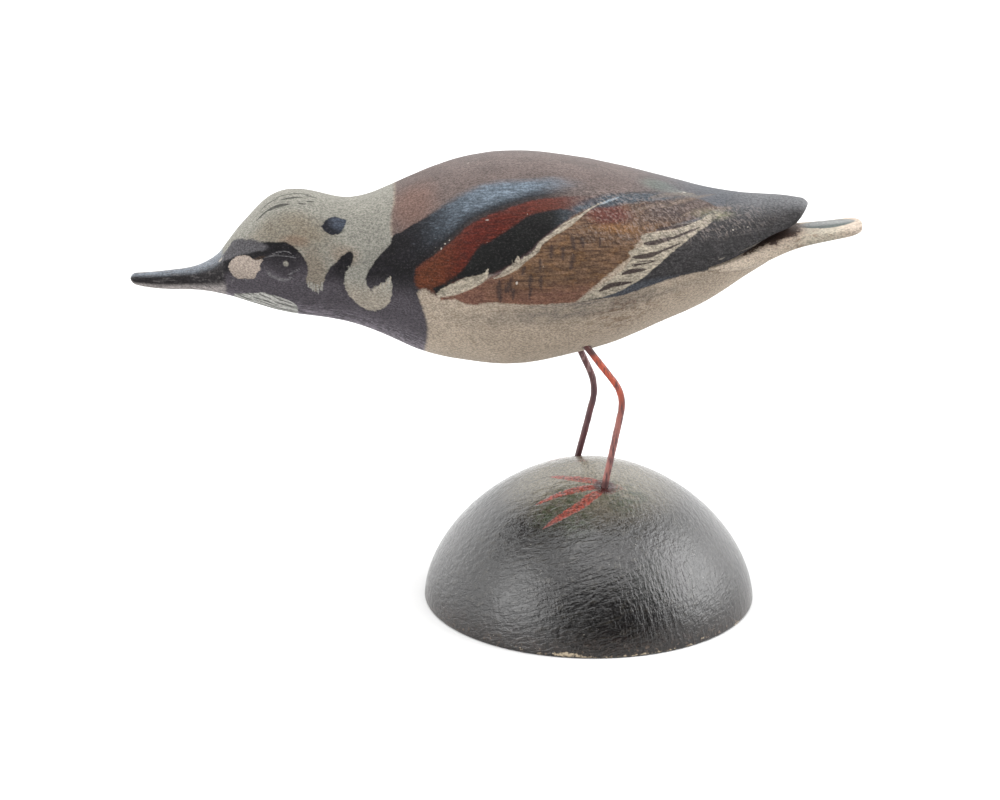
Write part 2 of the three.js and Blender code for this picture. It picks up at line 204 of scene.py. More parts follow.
# The painted fields of the left side. A place marked with a third number is a sharp corner.
FIELDS = {
    "head": [(9, -4, 1), *NECK_EDGE, (36.7, 36, 1), (34, 52), (31, 70), (9, 74, 1)],
    "saddle": [*NECK_EDGE, (36.7, 37, 1), (45, 42), (60, 42), (76, 30), (86, 30, 1), (86, -4, 1)],
    "black": [
        (11, 104, 1), (11, 26, 1), (13, 24.5, 1), (14.5, 18.9, 1), (16, 28.2), (17.3, 33.4), (18.1, 37.4),
        (20.2, 39.8), (22.3, 41), (24, 45.8), (24.9, 51.2), (24.6, 58.2), (26, 63, 1), (26.9, 56.6),
        (27.4, 51.4), (28.4, 47.3), (29.9, 41.5), (30.7, 40.3), (31.1, 42.6), (30.6, 47.6),
        (29.8, 52.6, 1), (32.6, 51.5, 1), (33.1, 48.3), (34.6, 42.2), (35.6, 38.9), (36.8, 34.8, 1),
        (39.5, 46.7, 1), (39.4, 50), (39.6, 54.1), (40.4, 60), (41, 68.5), (40.5, 82.1), (40, 104, 1),
    ],
    "band": [
        (36.7, 35.4, 1), (38.1, 32.3), (40.9, 28.7), (43.7, 24.8), (46.5, 21.4), (49.3, 19.1),
        (54.9, 17.7), (58.7, 15.5), (64, 16, 1), (62.6, 22, 1), *reversed(RUST_TOP), (37.5, 44, 1),
    ],
    "rust": [
        *RUST_TOP, (64, 21, 1), (63.6, 24.5, 1), (58.6, 27.7), *reversed(LENS_TOP), (41.6, 52.1),
        (40.4, 52.5), (39.6, 52.2, 1), (39.3, 50),
    ],
    "lens": [
        (41.6, 52.1, 1), *LENS_TOP, (58.6, 28), (60.2, 28.2), (60.7, 29.3, 1), (58.6, 33.4),
        (56.1, 38.2), (54.6, 41.7), (52.1, 45.4), (50, 47.8), (47.1, 49.1), (44.6, 50.3), (42.2, 54.4, 1),
    ],
    "blade": [
        (42.2, 53.9, 1), (43.3, 51.7), (45.7, 49.5), (48.6, 48), (49.1, 46.6, 1), (49.1, 48.5),
        (47.9, 50.8), (45, 53.6), (42.7, 54.9, 1),
    ],
    "coverts": [
        (42.7, 54.7, 1), (42.8, 56, 1), (44.7, 55.4), (46.5, 56.9), (50, 55.8), (56, 56.7),
        (60.7, 57.3, 1), (64.5, 50), (68, 43), (69.4, 37), (77.4, 26.2, 1), (80, 20, 1), (77, 15),
        (70, 16.5), (65.5, 20.5), (62, 26.1), (58.6, 33.4), (54.6, 41.7), (50, 47.6), (48.6, 49.7),
        (45, 53.6),
    ],
    "plumes": [
        (60.7, 57.3, 1), (62.9, 54), (65.2, 50.9), (67.2, 47.3), (68, 43.5), (67.7, 41.6), (69.2, 39.9),
        (69.6, 38.5), (69.3, 36.6, 1), (70.1, 34.6), (73.3, 33.6), (75.3, 31.1), (77.4, 27.6),
        (79.1, 23.6), (81, 21, 1), (79, 28.8), (76.9, 34.4), (75, 39.4), (73, 44.3), (71.2, 48.8),
        (69.2, 52.6), (66.9, 55.2), (64.6, 56.7),
    ],
    "primaries": [
        (60.6, 57.4, 1), (64.6, 57.5), (68.2, 57.2), (72.2, 55.5), (77.4, 55.1), (84, 60), (100, 62, 1),
        (100, -4, 1), (84, -4, 1), (82, 8), (80.5, 20), (78, 28), (75.5, 35), (72, 44), (69.5, 50),
        (66, 54),
    ],
    "slate_tail": [
        (59.6, 28, 1), (61, 25.2), (62.6, 23.2), (65.3, 20), (69.4, 17.3), (73.5, 15.1), (78, 12.6, 1),
        (76.2, 15.7), (72, 19.6), (68, 22.9), (65.3, 25.2), (62.6, 27), (60.6, 29.5, 1),
    ],
    "hook": [
        (30.4, 47.5, 1), (29.8, 52.6), (29.9, 57.6), (31.1, 64.3), (32.6, 67.5), (33.4, 67.3),
        (34.7, 64.4), (35.8, 60.4), (36.2, 55), (36.1, 50.4, 1), (35.7, 50.3), (34.8, 53), (33.8, 54.7),
        (33.6, 56.6, 1), (33.2, 56.7, 1), (32.6, 51.5), (33, 48.6, 1),
    ],
    "lore": [
        (13.8, 43.3), (14.2, 39.8), (15.1, 39.1), (16.7, 42.7), (17.5, 46.4), (18.8, 48.2, 1),
        (18.4, 50.3), (18.3, 53.4), (17.8, 54.6), (17.7, 57.5), (16.3, 57.8), (14.9, 56.2), (14.2, 50.6),
    ],
    "chin": [
        (14.2, 104, 1), (14.4, 76.2, 1), (17.6, 70), (18.8, 68.7), (21.7, 71.3), (22.9, 74.7),
        (23.2, 80), (22.6, 104, 1),
    ],
    "smear": [
        (12.9, 23.1, 1), (14.5, 17.5, 1), (16, 27.6), (18.4, 37.5), (19.5, 42, 1), (18.7, 43.3),
        (16, 40.2), (14.1, 37), (13, 31),
    ],
    "spot": [(26.8, 30), (27.2, 25.3), (28.2, 21.1), (30.1, 21.9, 1), (29.5, 29.1), (28.2, 32.8)],
    "bill": [
        (-3, -4, 1), (12.7, -4, 1), (12.8, 17.9), (13, 32.2), (13.2, 46.7), (13.3, 61.2),
        (13.2, 82.9), (13.2, 104, 1), (-3, 104, 1),
    ],
}

# Single strokes of the brush: half-width in the middle in mm, then places [along, around].
STROKES = {
    "crown_hairs": [
        (0.2, [(17.9, 20.5), (18.9, 18.6), (19.8, 17.4)]),
        (0.34, [(19.4, 18.4), (20.9, 17.4), (22.4, 17.2)]),
        (0.14, [(20.4, 8.2), (22.2, 7), (23.9, 5.7), (25, 5.9)]),
        (0.2, [(21, 12.5), (22.6, 11.3), (24, 10)]),
        (0.16, [(23.4, 16.5), (24.6, 16.1)]),
        (0.16, [(24.5, 13.5), (25.7, 12.6)]),
        (0.14, [(18.5, 12.6), (19.6, 10.8), (20.8, 9.7)]),
        (0.12, [(24.3, 7.8), (26, 7.3)]),
    ],
    "ticks": [
        (0.42, [(50.6, 49.6), (50.6, 52.5), (50.8, 55.6)]),
        (0.34, [(52.3, 48.6), (51.9, 50.6), (51.5, 52.6)]),
        (0.26, [(52.5, 51.4), (52.4, 55)]),
        (0.34, [(54.8, 48), (54.6, 51.2)]),
        (0.24, [(54.9, 51.2), (54.5, 54.8)]),
        (0.34, [(56.1, 48.6), (56.1, 52)]),
        (0.22, [(56, 43.6), (56, 46.9)]),
        (0.36, [(57.5, 39.8), (57.4, 43.6)]),
        (0.36, [(59, 40.3), (59, 44.2)]),
        (0.44, [(60.4, 42.5), (60, 46.7)]),
        (0.38, [(60.1, 36.6), (60.5, 40.7)]),
        (0.32, [(61.4, 36.8), (61.7, 40.2)]),
        (0.2, [(63.9, 36.8), (63.9, 39.6)]),
        (0.26, [(54, 45.8), (53.6, 48.2)]),
    ],
    "slits": [
        (0.3, [(71.4, 33.4), (72.6, 32.6), (73.9, 31.8), (76.2, 29.9)]),
        (0.44, [(69.7, 38.8), (71.2, 38.5), (72.3, 37.6), (73.9, 36.4)]),
        (0.22, [(72.4, 37.5), (73.9, 36.4), (75.7, 33.9), (77.5, 31.4)]),
        (0.44, [(68.2, 43.7), (69.9, 43.6), (70.8, 43.1), (72.2, 42.2)]),
        (0.17, [(71.2, 42.9), (73, 41.1), (74.8, 38.9)]),
        (0.12, [(68.1, 46.3), (69.9, 46.5), (71.4, 45.8)]),
        (0.4, [(66.8, 49.4), (67.9, 48.9), (68.8, 48.7), (70.1, 49)]),
        (0.44, [(63.9, 54.4), (64.7, 53.5), (65.5, 52.9), (66.8, 52.8), (68.3, 53)]),
    ],
    "white_line": [
        (0.34, [(49.8, 49.2), (51.3, 47.9), (52.7, 45.9), (54, 44), (54.9, 42.6), (55.6, 41.2),
                (56.1, 39.1), (57.7, 36.4), (58.6, 34.6), (60.4, 31.8), (62.6, 26.9), (64.6, 23.3)]),
        (0.52, [(50.8, 48.3), (52.7, 45.9), (54.3, 43.6)]),
        (0.5, [(57.6, 36.5), (59.5, 33.2), (61.4, 29.6)]),
        (0.14, [(52.7, 45), (53.1, 42.7)]),
        (0.12, [(52.4, 45.4), (52.3, 43.8)]),
        (0.12, [(53.7, 44), (54.1, 42.7)]),
        (0.14, [(48.6, 48.8), (49.1, 46.6)]),
    ],
    "tan_streaks": [
        (0.45, [(72, 23.5), (74.1, 20), (76.2, 16.2), (79.6, 9)]),
        (0.5, [(74.8, 26.6), (77.4, 22.9), (80.2, 20.1), (82, 19.8)]),
        (0.3, [(68.6, 25.8), (70.4, 23.7), (72.6, 20.6)]),
        (0.5, [(70.5, 19.5), (73.6, 15.6), (77, 11.6)]),
    ],
    "pale_hairs": [
        (0.09, [(18.8, 47.6), (20, 46.9), (21.4, 47), (22.5, 47.4), (23.4, 47.8)]),
        (0.06, [(20.1, 46), (21.1, 45.1), (22.2, 45.1), (23.1, 46.9)]),
        (0.32, [(19.3, 54), (19.9, 56.4), (20.7, 57.9)]),
        (0.36, [(20.2, 56.2), (21.2, 58.3), (22.5, 57.9)]),
        (0.07, [(22.2, 56.2), (23.2, 57.6)]),
        (0.08, [(22, 55.6), (22.9, 53.9), (23.9, 51.6)]),
        (0.2, [(12.7, 8), (12.5, 24)]),
        (0.12, [(13.1, 25), (12.9, 40)]),
        (0.1, [(14.5, 57.5), (14.2, 61)]),
        (0.1, [(16.1, 58), (16.5, 61)]),
    ],
    "fringe": [
        (0.2, [(25.3, 57.5), (25.5, 62.8)]),
        (0.2, [(26, 58), (26.2, 64)]),
        (0.17, [(26.7, 56.4), (26.7, 61.5)]),
        (0.14, [(24.9, 57.6), (24.8, 61)]),
    ],
    "edge_lines": [
        (0.14, [(88.9, 49), (87, 50.4), (84.9, 51.7), (82.8, 51.8)]),
        (0.14, [(79.9, 51.6), (80.7, 51.8)]),
        (0.12, [(66.2, 53.9), (67.8, 53.4)]),
    ],
    # A grey line of painted shadow under the coverts.
    "shadow_line_under_wing": [(0.3, [(54.7, 57.3), (57.3, 57.6), (60, 58), (62.6, 58.2), (65.3, 58)])],
    "dark_lines": [
        (0.16, [(67.2, 18.4), (69.4, 17), (72.1, 15.1)]),
        (0.12, [(61.5, 24.4), (64, 21.3), (67, 19.2)]),
    ],
    "glint_lines": [(0.2, [(63.9, 24.8), (65.3, 22.7), (66.6, 20.8)])],
    "hook_hairs": [
        (0.16, [(33.3, 59), (33.1, 56.2)]),
        (0.16, [(33.9, 57.2), (33.8, 54)]),
        (0.18, [(34.6, 56), (34.7, 52.2)]),
        (0.18, [(35.2, 54.5), (35.6, 50.8)]),
        (0.13, [(35.8, 52.6), (36.1, 49.6)]),
    ],
}

# Chips in the bird's paint: along, around, half-length and half-height in mm.
CHIPS = [
    (46.4, 5.2, 0.17, 0.15), (49, 32.4, 0.26, 0.13), (42.9, 40.8, 0.13, 0.17), (43.4, 39.3, 0.16, 0.12),
    (44, 38.3, 0.12, 0.1), (81.9, 34.7, 0.2, 0.14), (83.9, 34.7, 0.14, 0.11), (52.9, 50.1, 0.18, 0.22),
    (12.7, 27, 0.34, 0.2), (75.4, 12.2, 0.3, 0.11),
]

# The left foot's toes on the stand, seen from above in mm from its centre: half-width, then places.
TOES = [
    (0.72, [(1.8, -7.0), (0.0, -6.4), (-3.3, -5.3), (-6.9, -3.4)]),
    (0.74, [(1.4, -8.0), (-1.4, -8.4), (-4.3, -8.9), (-9.4, -9.9)]),
    (0.9, [(2.0, -8.7), (-0.3, -10.6), (-2.9, -12.7), (-8.2, -15.1)]),
]
FAR_TOES = 0.6
COLLAR_REACH = 1.7
UNDERSIDE_LEVEL = 0.02
CLAWS = [
    (0.2, [(-6.9, -3.2), (-9, -3), (-11.2, -3.1)]),
    (0.22, [(-9.3, -9.7), (-10.4, -10), (-11.6, -10.4)]),
    (0.26, [(-8.0, -15.0), (-9.6, -15.6), (-11.2, -16.2)]),
    (0.14, [(11.5, -0.9), (12.3, -2.8), (13.2, -4.7)]),
]
# Patches of paint round the feet: x, y and half-width in mm.
GREEN_PATCHES = [
    (-3.2, -10.4, 2.6), (-3.3, -11.8, 2.2), (-7, -12.6, 2.2), (-2.6, -14.9, 1.6), (5, -9.6, 2.6),
    (7, -8.2, 1.8), (-6, 11, 3.4),
]
RED_SMEARS = [(4.2, -7.5, 0.6), (-1.4, 3.2, 0.5), (-1.5, 1.2, 0.5), (2.6, -8.2, 0.9)]
# Chips at the stand's foot: turn round the stand in degrees, height, half-length and half-height in mm.
FOOT_CHIPS = [
    (-99, 0.6, 2.2, 0.4), (-93, 0.3, 1.6, 0.12), (-86, 0.26, 1.6, 0.1), (-80, 0.3, 0.8, 0.12),
    (-76.5, 0.3, 0.5, 0.2), (-73, 0.35, 0.7, 0.16), (-68, 0.4, 0.8, 0.16), (-63, 0.35, 0.7, 0.14),
    (-56, 0.3, 0.6, 0.14), (-50, 0.8, 0.2, 0.2), (-115, 0.7, 0.25, 0.2), (-108, 0.4, 0.4, 0.16),
    (-30, 0.3, 1.1, 0.2), (5, 0.35, 1.5, 0.25), (48, 0.3, 1.2, 0.2), (97, 0.4, 2, 0.3), (150, 0.3, 1, 0.2),
]


def natural_spline(points):
    """A smooth curve through the points, as a function of the first number."""
    xs, ys = np.array(points, float).T
    wide = np.diff(xs)
    rows = np.eye(len(xs))
    right = np.zeros(len(xs))
    for i in range(1, len(xs) - 1):
        rows[i, i - 1:i + 2] = wide[i - 1], 2 * (wide[i - 1] + wide[i]), wide[i]
        right[i] = 6 * ((ys[i + 1] - ys[i]) / wide[i] - (ys[i] - ys[i - 1]) / wide[i - 1])
    bend = np.linalg.solve(rows, right)

    def value(x):
        x = np.asarray(x, float)
        i = np.clip(np.searchsorted(xs, x) - 1, 0, len(xs) - 2)
        gap = wide[i]
        after = x - xs[i]
        before = xs[i + 1] - x
        chord = (ys[i] * before + ys[i + 1] * after) / gap
        bow = (before**3 / gap - gap * before) * bend[i] + (after**3 / gap - gap * after) * bend[i + 1]
        return chord + bow / 6

    return value


back = natural_spline(BACK_LINE)
belly = natural_spline(BELLY_LINE)
plan = natural_spline(PLAN_LINE)
round_above = natural_spline(ROUND_ABOVE)
round_below = natural_spline(ROUND_BELOW)
wing_edge = natural_spline(WING_EDGE_LINE)
tail_top = natural_spline(TAIL_TOP_LINE)
tail_plan = natural_spline(TAIL_PLAN_LINE)
tail_thickness = natural_spline(TAIL_THICKNESS_LINE)
relief = natural_spline(RELIEF_LINE)
web = natural_spline(WEB_LINE)


def srgb(red, green, blue):
    """A colour as seen, 0 to 255, turned into light values."""
    seen = np.array([red, green, blue]) / 255
    return tuple(float(v) for v in np.where(seen <= 0.04045, seen / 12.92, ((seen + 0.055) / 1.055) ** 2.4))


def length_setting(name, about, default):
    return FloatProperty(name=name, description=about, default=default, min=0, unit="LENGTH", precision=5)


def share_setting(name, about, default, most=1):
    return FloatProperty(name=name, description=about, default=default, min=0, max=most)


def colour_setting(name, about, *seen):
    return FloatVectorProperty(
        name=name, description=about, size=3, min=0, max=1, subtype="COLOR", default=srgb(*seen)
    )


class BirdSettings(bpy.types.PropertyGroup):
    """Sizes and colours of the carved bird."""

    length: length_setting("Length", "From bill tip to the end of the tail", BIRD_HIGH.x - BIRD_LOW.x)
    depth: length_setting("Depth", "From the belly to the top of the back", BIRD_HIGH.z - BIRD_LOW.z)
    width: length_setting("Width", "Across the widest part of the body", BIRD_HIGH.y - BIRD_LOW.y)
    unevenness: length_setting("Unevenness", "How far the knife left the surface uneven", 0.00016)
    paint_relief: length_setting("Paint relief", "Height of the brush marks in the paint", 0.00008)
    gloss: share_setting("Gloss", "How far the varnish shines on the back and wings", 0.55)
    grain: share_setting("Grain", "Strength of the fine grain in the paint", 0.7)
    cream: colour_setting("Cream", "Belly, rump and tail", 174, 160, 143)
    olive: colour_setting("Olive cream", "Head and neck", 141, 139, 130)
    tan: colour_setting("Tan", "Warm smudges on the head and hindneck", 120, 104, 82)
    black: colour_setting("Black", "Mask, shoulder and the dark of the wing", 13, 11, 15)
    # The breast's grey is the black painted lighter as lit from below.
    breast: colour_setting("Breast grey", "Breast below the shoulder", 80, 75, 81)
    slate: colour_setting("Slate", "Upper edge of the wing band and the wing tips", 82, 92, 102)
    saddle: colour_setting("Saddle", "Back between the wings", 102, 89, 85)
    rust: colour_setting("Rust", "Rust-red wing stripe", 82, 23, 8)
    brown: colour_setting("Brown", "Wing coverts", 102, 78, 60)
    ochre: colour_setting("Ochre", "Light brown patch of the coverts", 138, 96, 54)
    primaries: colour_setting("Wing tip", "Folded flight feathers", 52, 50, 51)
    plumes: colour_setting("Plumes", "Cream feather edges before the wing tip", 174, 164, 147)
    bill: colour_setting("Bill", "Bill", 30, 27, 29)


class LegSettings(bpy.types.PropertyGroup):
    """Size and colours of the wire legs."""

    radius: length_setting("Wire radius", "Half the wire's thickness", WIRE_RADIUS * MM)
    red: colour_setting("Red paint", "Thin red paint on the wire", 160, 76, 58)
    dark: colour_setting("Dark wire", "Worn, darkened wire", 76, 49, 60)


class StandSettings(bpy.types.PropertyGroup):
    """Sizes and colours of the domed stand."""

    diameter: length_setting("Diameter", "Across the stand's foot", STAND_HIGH.x - STAND_LOW.x)
    height: length_setting("Height", "From the underside to the top", STAND_HIGH.z - STAND_LOW.z)
    brush_relief: length_setting("Brush relief", "Depth of the uneven brushed ground", 0.00003)
    paint_relief: length_setting("Paint relief", "Height of the crossed brush marks", 0.00009)
    ground: colour_setting("Ground", "Near-black ground colour", 17, 15, 15)
    # The greyer top is partly the paint's own grey and partly painted sheen.
    upper: colour_setting("Upper", "Greyer colour of the top", 124, 117, 101)
    green: colour_setting("Green", "Green strokes round the toes", 50, 60, 42)
    toes: colour_setting("Toes", "Painted toes", 136, 56, 44)
    wood: colour_setting("Bare wood", "Wood where the paint has chipped", 196, 178, 150)


class StageSettings(bpy.types.PropertyGroup):
    """Floor, light and camera."""

    floor: colour_setting("Floor", "Pale floor", 240, 240, 240)
    sky: share_setting("Room light", "Strength of the room's light", 1.0, 10)
    camera: FloatVectorProperty(
        name="Camera", description="Place of the camera", size=3, unit="LENGTH", default=CAMERA_PLACE
    )
    pitch: FloatProperty(
        name="Pitch", description="How far the camera looks down", unit="ROTATION", default=CAMERA_PITCH
    )
    lens: FloatProperty(name="Lens", description="Focal length in millimetres", default=CAMERA_LENS, min=1)


class Tone:
    """A socket of a finish that can be used in sums; each sum adds a Math node."""

    def __init__(self, finish, socket):
        self.finish = finish
        self.socket = socket

    def __add__(self, other):
        return self.finish.math("ADD", self, other)

    def __radd__(self, other):
        return self.finish.math("ADD", other, self)

    def __sub__(self, other):
        return self.finish.math("SUBTRACT", self, other)

    def __rsub__(self, other):
        return self.finish.math("SUBTRACT", other, self)

    def __mul__(self, other):
        return self.finish.math("MULTIPLY", self, other)

    def __rmul__(self, other):
        return self.finish.math("MULTIPLY", other, self)

    def __abs__(self):
        return self.finish.math("ABSOLUTE", self)

    def or_more(self, other):
        return self.finish.math("MAXIMUM", self, other)


class Finish:
    """A finish under way: the nodes of a material, or of the room's light, and the ways to add to them."""

    def __init__(self, name, room=False):
        self.material = bpy.data.worlds.new(name) if room else bpy.data.materials.new(name)
        self.material.use_nodes = True
        self.tree = self.material.node_tree
        self.tree.nodes.clear()
        self.place = self.node("TexCoord", out="Generated" if room else "Object")
        if not room:
            self.place = self.scaled(self.place, 1 / MM)

    def node(self, kind, settings=None, sockets=None, out=0):
        """Adds a node, sets it up, then fills its sockets with values or links."""
        made = self.tree.nodes.new("ShaderNode" + kind)
        for key, value in (settings or {}).items():
            setattr(made, key, value)
        for key, value in (sockets or {}).items():
            if isinstance(value, Tone):
                self.tree.links.new(value.socket, made.inputs[key])
            else:
                made.inputs[key].default_value = value
        return Tone(self, made.outputs[out]) if made.outputs else None

    def math(self, operation, *values):
        return self.node("Math", {"operation": operation}, dict(enumerate(values)))

    def vector(self, operation, *values, out=0):
        return self.node("VectorMath", {"operation": operation}, dict(enumerate(values)), out)

    def scaled(self, place, share):
        factors = (share, share, share) if isinstance(share, (int, float)) else share
        return self.vector("MULTIPLY", place, factors)

    def mix(self, share, under, over):
        """Lays one colour over another."""
        return self.node("Mix", {"data_type": "RGBA"}, {0: share, 6: opaque(under), 7: opaque(over)}, 2)

    def two(self, colour, dark, light, share):
        """A colour that changes between a darker and a lighter shade of it."""
        return self.mix(share, shade(colour, dark), shade(colour, light))

    def layered(self, coat, *layers):
        """Lays layers over a coat, each its share and its colour."""
        for share, colour in layers:
            coat = self.mix(share, coat, colour)
        return coat

    def step(self, value, low, high):
        """0 below low, 1 above high, smooth between."""
        sockets = {"Value": value, "From Min": low, "From Max": high}
        return self.node("MapRange", {"interpolation_type": "SMOOTHSTEP"}, sockets)

    def parts(self, vector):
        """The three numbers of a vector."""
        split = self.node("SeparateXYZ", {}, {0: vector}).socket.node
        return [Tone(self, socket) for socket in split.outputs]

    def noise(self, scale, stretch=(1, 1, 1), detail=2, rough=0.5, twist=0.0, shift=0, lean=0.0):
        """Noise from 0 to 1 over the object: scale in lumps per mm, lean toward +X in degrees."""
        place = self.place
        if lean:
            turned = {"Vector": place, "Angle": math.radians(lean)}
            place = self.node("VectorRotate", {"rotation_type": "Y_AXIS"}, turned)
        place = self.vector("MULTIPLY_ADD", place, stretch, (shift, shift * 1.7, shift * 2.3))
        sockets = {"Vector": place, "Scale": scale, "Detail": detail, "Roughness": rough}
        return self.node("TexNoise", {}, {**sockets, "Distortion": twist})

    def grained(self, colour, grain, strength):
        """A colour with a fine light and dark grain."""
        return self.vector("MULTIPLY", colour, 1 + (grain - 0.5) * strength)

    def attribute(self, name, out="Fac"):
        return self.node("Attribute", {"attribute_name": name}, None, out)

    def strokes(self, name, uneven, soft):
        """Strokes of the brush: 1 inside, 0 outside, their edges as soft and as uneven as asked."""
        across, away, _ = self.parts(self.attribute(name, "Vector"))
        return self.step(abs(across) + uneven, 1 + soft, 1 - soft) * self.step(away, *STROKE_END)

    def close(self, colour, roughness, height=None, relief_depth=0.05, specular=0.5):
        """Ends the finish with its shader; height is relief in shares of the relief depth in mm."""
        colour = self.scaled(colour, OWN_SHARE)
        sockets = {"Base Color": colour, "Roughness": roughness, "Specular IOR Level": specular}
        if height is not None:
            bump = {"Height": height, "Distance": relief_depth * MM, "Strength": 1.0}
            sockets["Normal"] = self.node("Bump", {}, bump)
        shader = self.node("BsdfPrincipled", {}, sockets)
        self.node("OutputMaterial", {}, {"Surface": shader})
        return self.material


def opaque(colour):
    """A three-number colour as the four numbers that a socket wants."""
    if isinstance(colour, Tone):
        return colour
    return (*colour[:3], 1)


def shade(colour, share):
    """A lighter or darker version of a colour."""
    return tuple(min(v * share, 1) for v in colour[:3])


# The forms.

X_ZERO = BIRD_LOW.x / MM
BELLY_LEVEL = BIRD_LOW.z / MM
LENGTH = (BIRD_HIGH.x - BIRD_LOW.x) / MM
DEPTH = (BIRD_HIGH.z - BIRD_LOW.z) / MM
WIDTH = (BIRD_HIGH.y - BIRD_LOW.y) / MM
STAND_RADIUS = (STAND_HIGH.x - STAND_LOW.x) / 2 / MM
STAND_HEIGHT = (STAND_HIGH.z - STAND_LOW.z) / MM


def x_at(along):
    return X_ZERO + along / 100 * LENGTH


def along_at(x):
    return (x - X_ZERO) / LENGTH * 100


def z_at(height):
    return BELLY_LEVEL + height / 100 * DEPTH


def rounded_end(distance, radius, square):
    """How much of its size a form keeps at a distance from its rounded end."""
    return (1 - (1 - np.clip(distance / radius, 0, 1)) ** square) ** (1 / square)


def oval(turn, half_width, half, above, below):
    """Points of an oval whose upper and lower halves are each as square as asked."""
    c, s = np.cos(turn), np.sin(turn)
    power = 2 / np.where(s >= 0, above, below)
    return half_width * np.sign(c) * np.abs(c) ** power, half * np.sign(s) * np.abs(s) ** power


def ring_places(spans):
    """The places of a form's rings, evenly spread over each span."""
    places = [np.linspace(start, end, count, endpoint=False) for start, end, count in spans]
    return np.append(np.concatenate(places), spans[-1][1])


def body_section(along):
    """Half the width, the middle level and half the depth of the body at a place along it."""
    size = rounded_end((along + END_GAP) / 100 * LENGTH, BILL_TIP_ROUND, 2)
    half_width = plan(along) / 200 * WIDTH * size
    middle = z_at((back(along) + belly(along)) / 2)
    half = (back(along) - belly(along)) / 200 * DEPTH * size
    return half_width, middle, half


def wing_slant(along):
    """How far the wing's end leans back for each mm down."""
    return WING_SLANT * np.clip((along - WING_SLANT_FROM) / WING_SLANT_OVER, 0, 1) ** 2


def tail_section(along):
    """Half the width, the top, half the thickness and half the rounded thickness of the tail."""
    size = rounded_end((TAIL_END + END_GAP - along) / 100 * LENGTH, TAIL_END_ROUND, TAIL_END_SQUARE)
    half = tail_thickness(along) / 200 * TAIL_THICKNESS
    top = z_at(tail_top(along))
    half_width = tail_plan(along) / 200 * TAIL_WIDTH * size
    return half_width, top, half, half * np.sqrt(size)


def ripple(points, wavelength, seed, waves=16):
    """Smooth unevenness from 0 to 1 at the points."""
    dice = np.random.default_rng(seed)
    total = np.zeros(points.shape[:-1])
    for _ in range(waves):
        direction = dice.normal(size=3)
        direction /= np.linalg.norm(direction)
        length = wavelength * dice.uniform(0.7, 1.7)
        total += np.sin(points @ direction * (2 * math.pi / length) + dice.uniform(0, 2 * math.pi))
    return 0.5 + np.clip(total / math.sqrt(waves) / 3, -0.5, 0.5)


def skin(rings, start, end):
    """Points and faces of a closed form over rings of points, with a point closing each end."""
    count, sides = rings.shape[:2]
    points = np.vstack([rings.reshape(-1, 3), start, end])
    i = np.arange(sides)
    j = (i + 1) % sides
    first = count * sides
    faces = []
    for r in range(count - 1):
        a = r * sides
        faces += np.stack([a + i, a + j, a + sides + j, a + sides + i], 1).tolist()
    faces += np.stack([np.full(sides, first), j, i], 1).tolist()
    faces += np.stack([np.full(sides, first + 1), first - sides + i, first - sides + j], 1).tolist()
    return points, faces


def make_object(name, points, faces, finishes, finish=0):
    """A mesh object from points in mm, its faces all in one of the finishes."""
    mesh = bpy.data.meshes.new(name)
    mesh.from_pydata((np.asarray(points) * MM).tolist(), [], faces)
    mesh.polygons.foreach_set("material_index", np.full(len(mesh.polygons), finish, np.int32))
    mesh.shade_smooth()
    for material in finishes:
        mesh.materials.append(material)
    made = bpy.data.objects.new(name, mesh)
    bpy.context.scene.collection.objects.link(made)
    return made


def carve(piece, tool, operation="DIFFERENCE"):
    """Cuts the tool's form out of the piece, or joins it on, and takes the tool away."""
    step = piece.modifiers.new("carve", "BOOLEAN")
    step.operation = operation
    step.solver = "MANIFOLD"
    step.material_mode = "INDEX"
    step.object = tool
    bpy.context.view_layer.update()
    depsgraph = bpy.context.evaluated_depsgraph_get()
    mesh = bpy.data.meshes.new_from_object(piece.evaluated_get(depsgraph))
    piece.modifiers.clear()
    old = piece.data
    piece.data = mesh
    mesh.name = piece.name
    bpy.data.meshes.remove(old)
    bpy.data.objects.remove(tool)
    if not mesh.polygons:
        raise RuntimeError(f"nothing is left of {piece.name} after carving")


def mesh_points(mesh):
    """The mesh's points in mm."""
    places = np.zeros(len(mesh.vertices) * 3, np.float32)
    mesh.vertices.foreach_get("co", places)
    return places.reshape(-1, 3).astype(float) / MM


def store(mesh, name, values):
    """Keeps one number, or one vector, for each point of the mesh."""
    vector = np.ndim(values) == 2
    layer = mesh.attributes.new(name, "FLOAT_VECTOR" if vector else "FLOAT", "POINT")
    layer.data.foreach_set("vector" if vector else "value", np.asarray(values, np.float32).ravel())


def drawn(outline, closed=True, steps=4):
    """An outline through the places, rounded except at the marked corners."""
    places = [np.array(p[:2], float) for p in outline]
    sharp = [len(p) > 2 for p in outline]
    count = len(places)
    points = []
    for i in range(count if closed else count - 1):
        j = (i + 1) % count
        a, b = places[i], places[j]
        before = a if sharp[i] or (not closed and i == 0) else places[i - 1]
        after = b if sharp[j] or (not closed and j == count - 1) else places[(j + 1) % count]
        for t in np.arange(steps) / steps:
            bend = (b - before) * t + (2 * before - 5 * a + 4 * b - after) * t**2
            bend += (3 * a - before - 3 * b + after) * t**3
            points.append(a + bend / 2)
    if not closed:
        points.append(places[-1])
    return np.array(points)


def to_segment(u, v, a, b, u_unit, v_unit):
    """Distance in mm from places to a segment, which side of it they lie on, and how far along it."""
    to_u, to_v = (a[0] - u) * u_unit, (a[1] - v) * v_unit
    run_u, run_v = (b[0] - a[0]) * u_unit, (b[1] - a[1]) * v_unit
    share = np.clip(-(to_u * run_u + to_v * run_v) / (run_u**2 + run_v**2 + 1e-12), 0, 1)
    return np.hypot(to_u + share * run_u, to_v + share * run_v), to_u * run_v - to_v * run_u, share


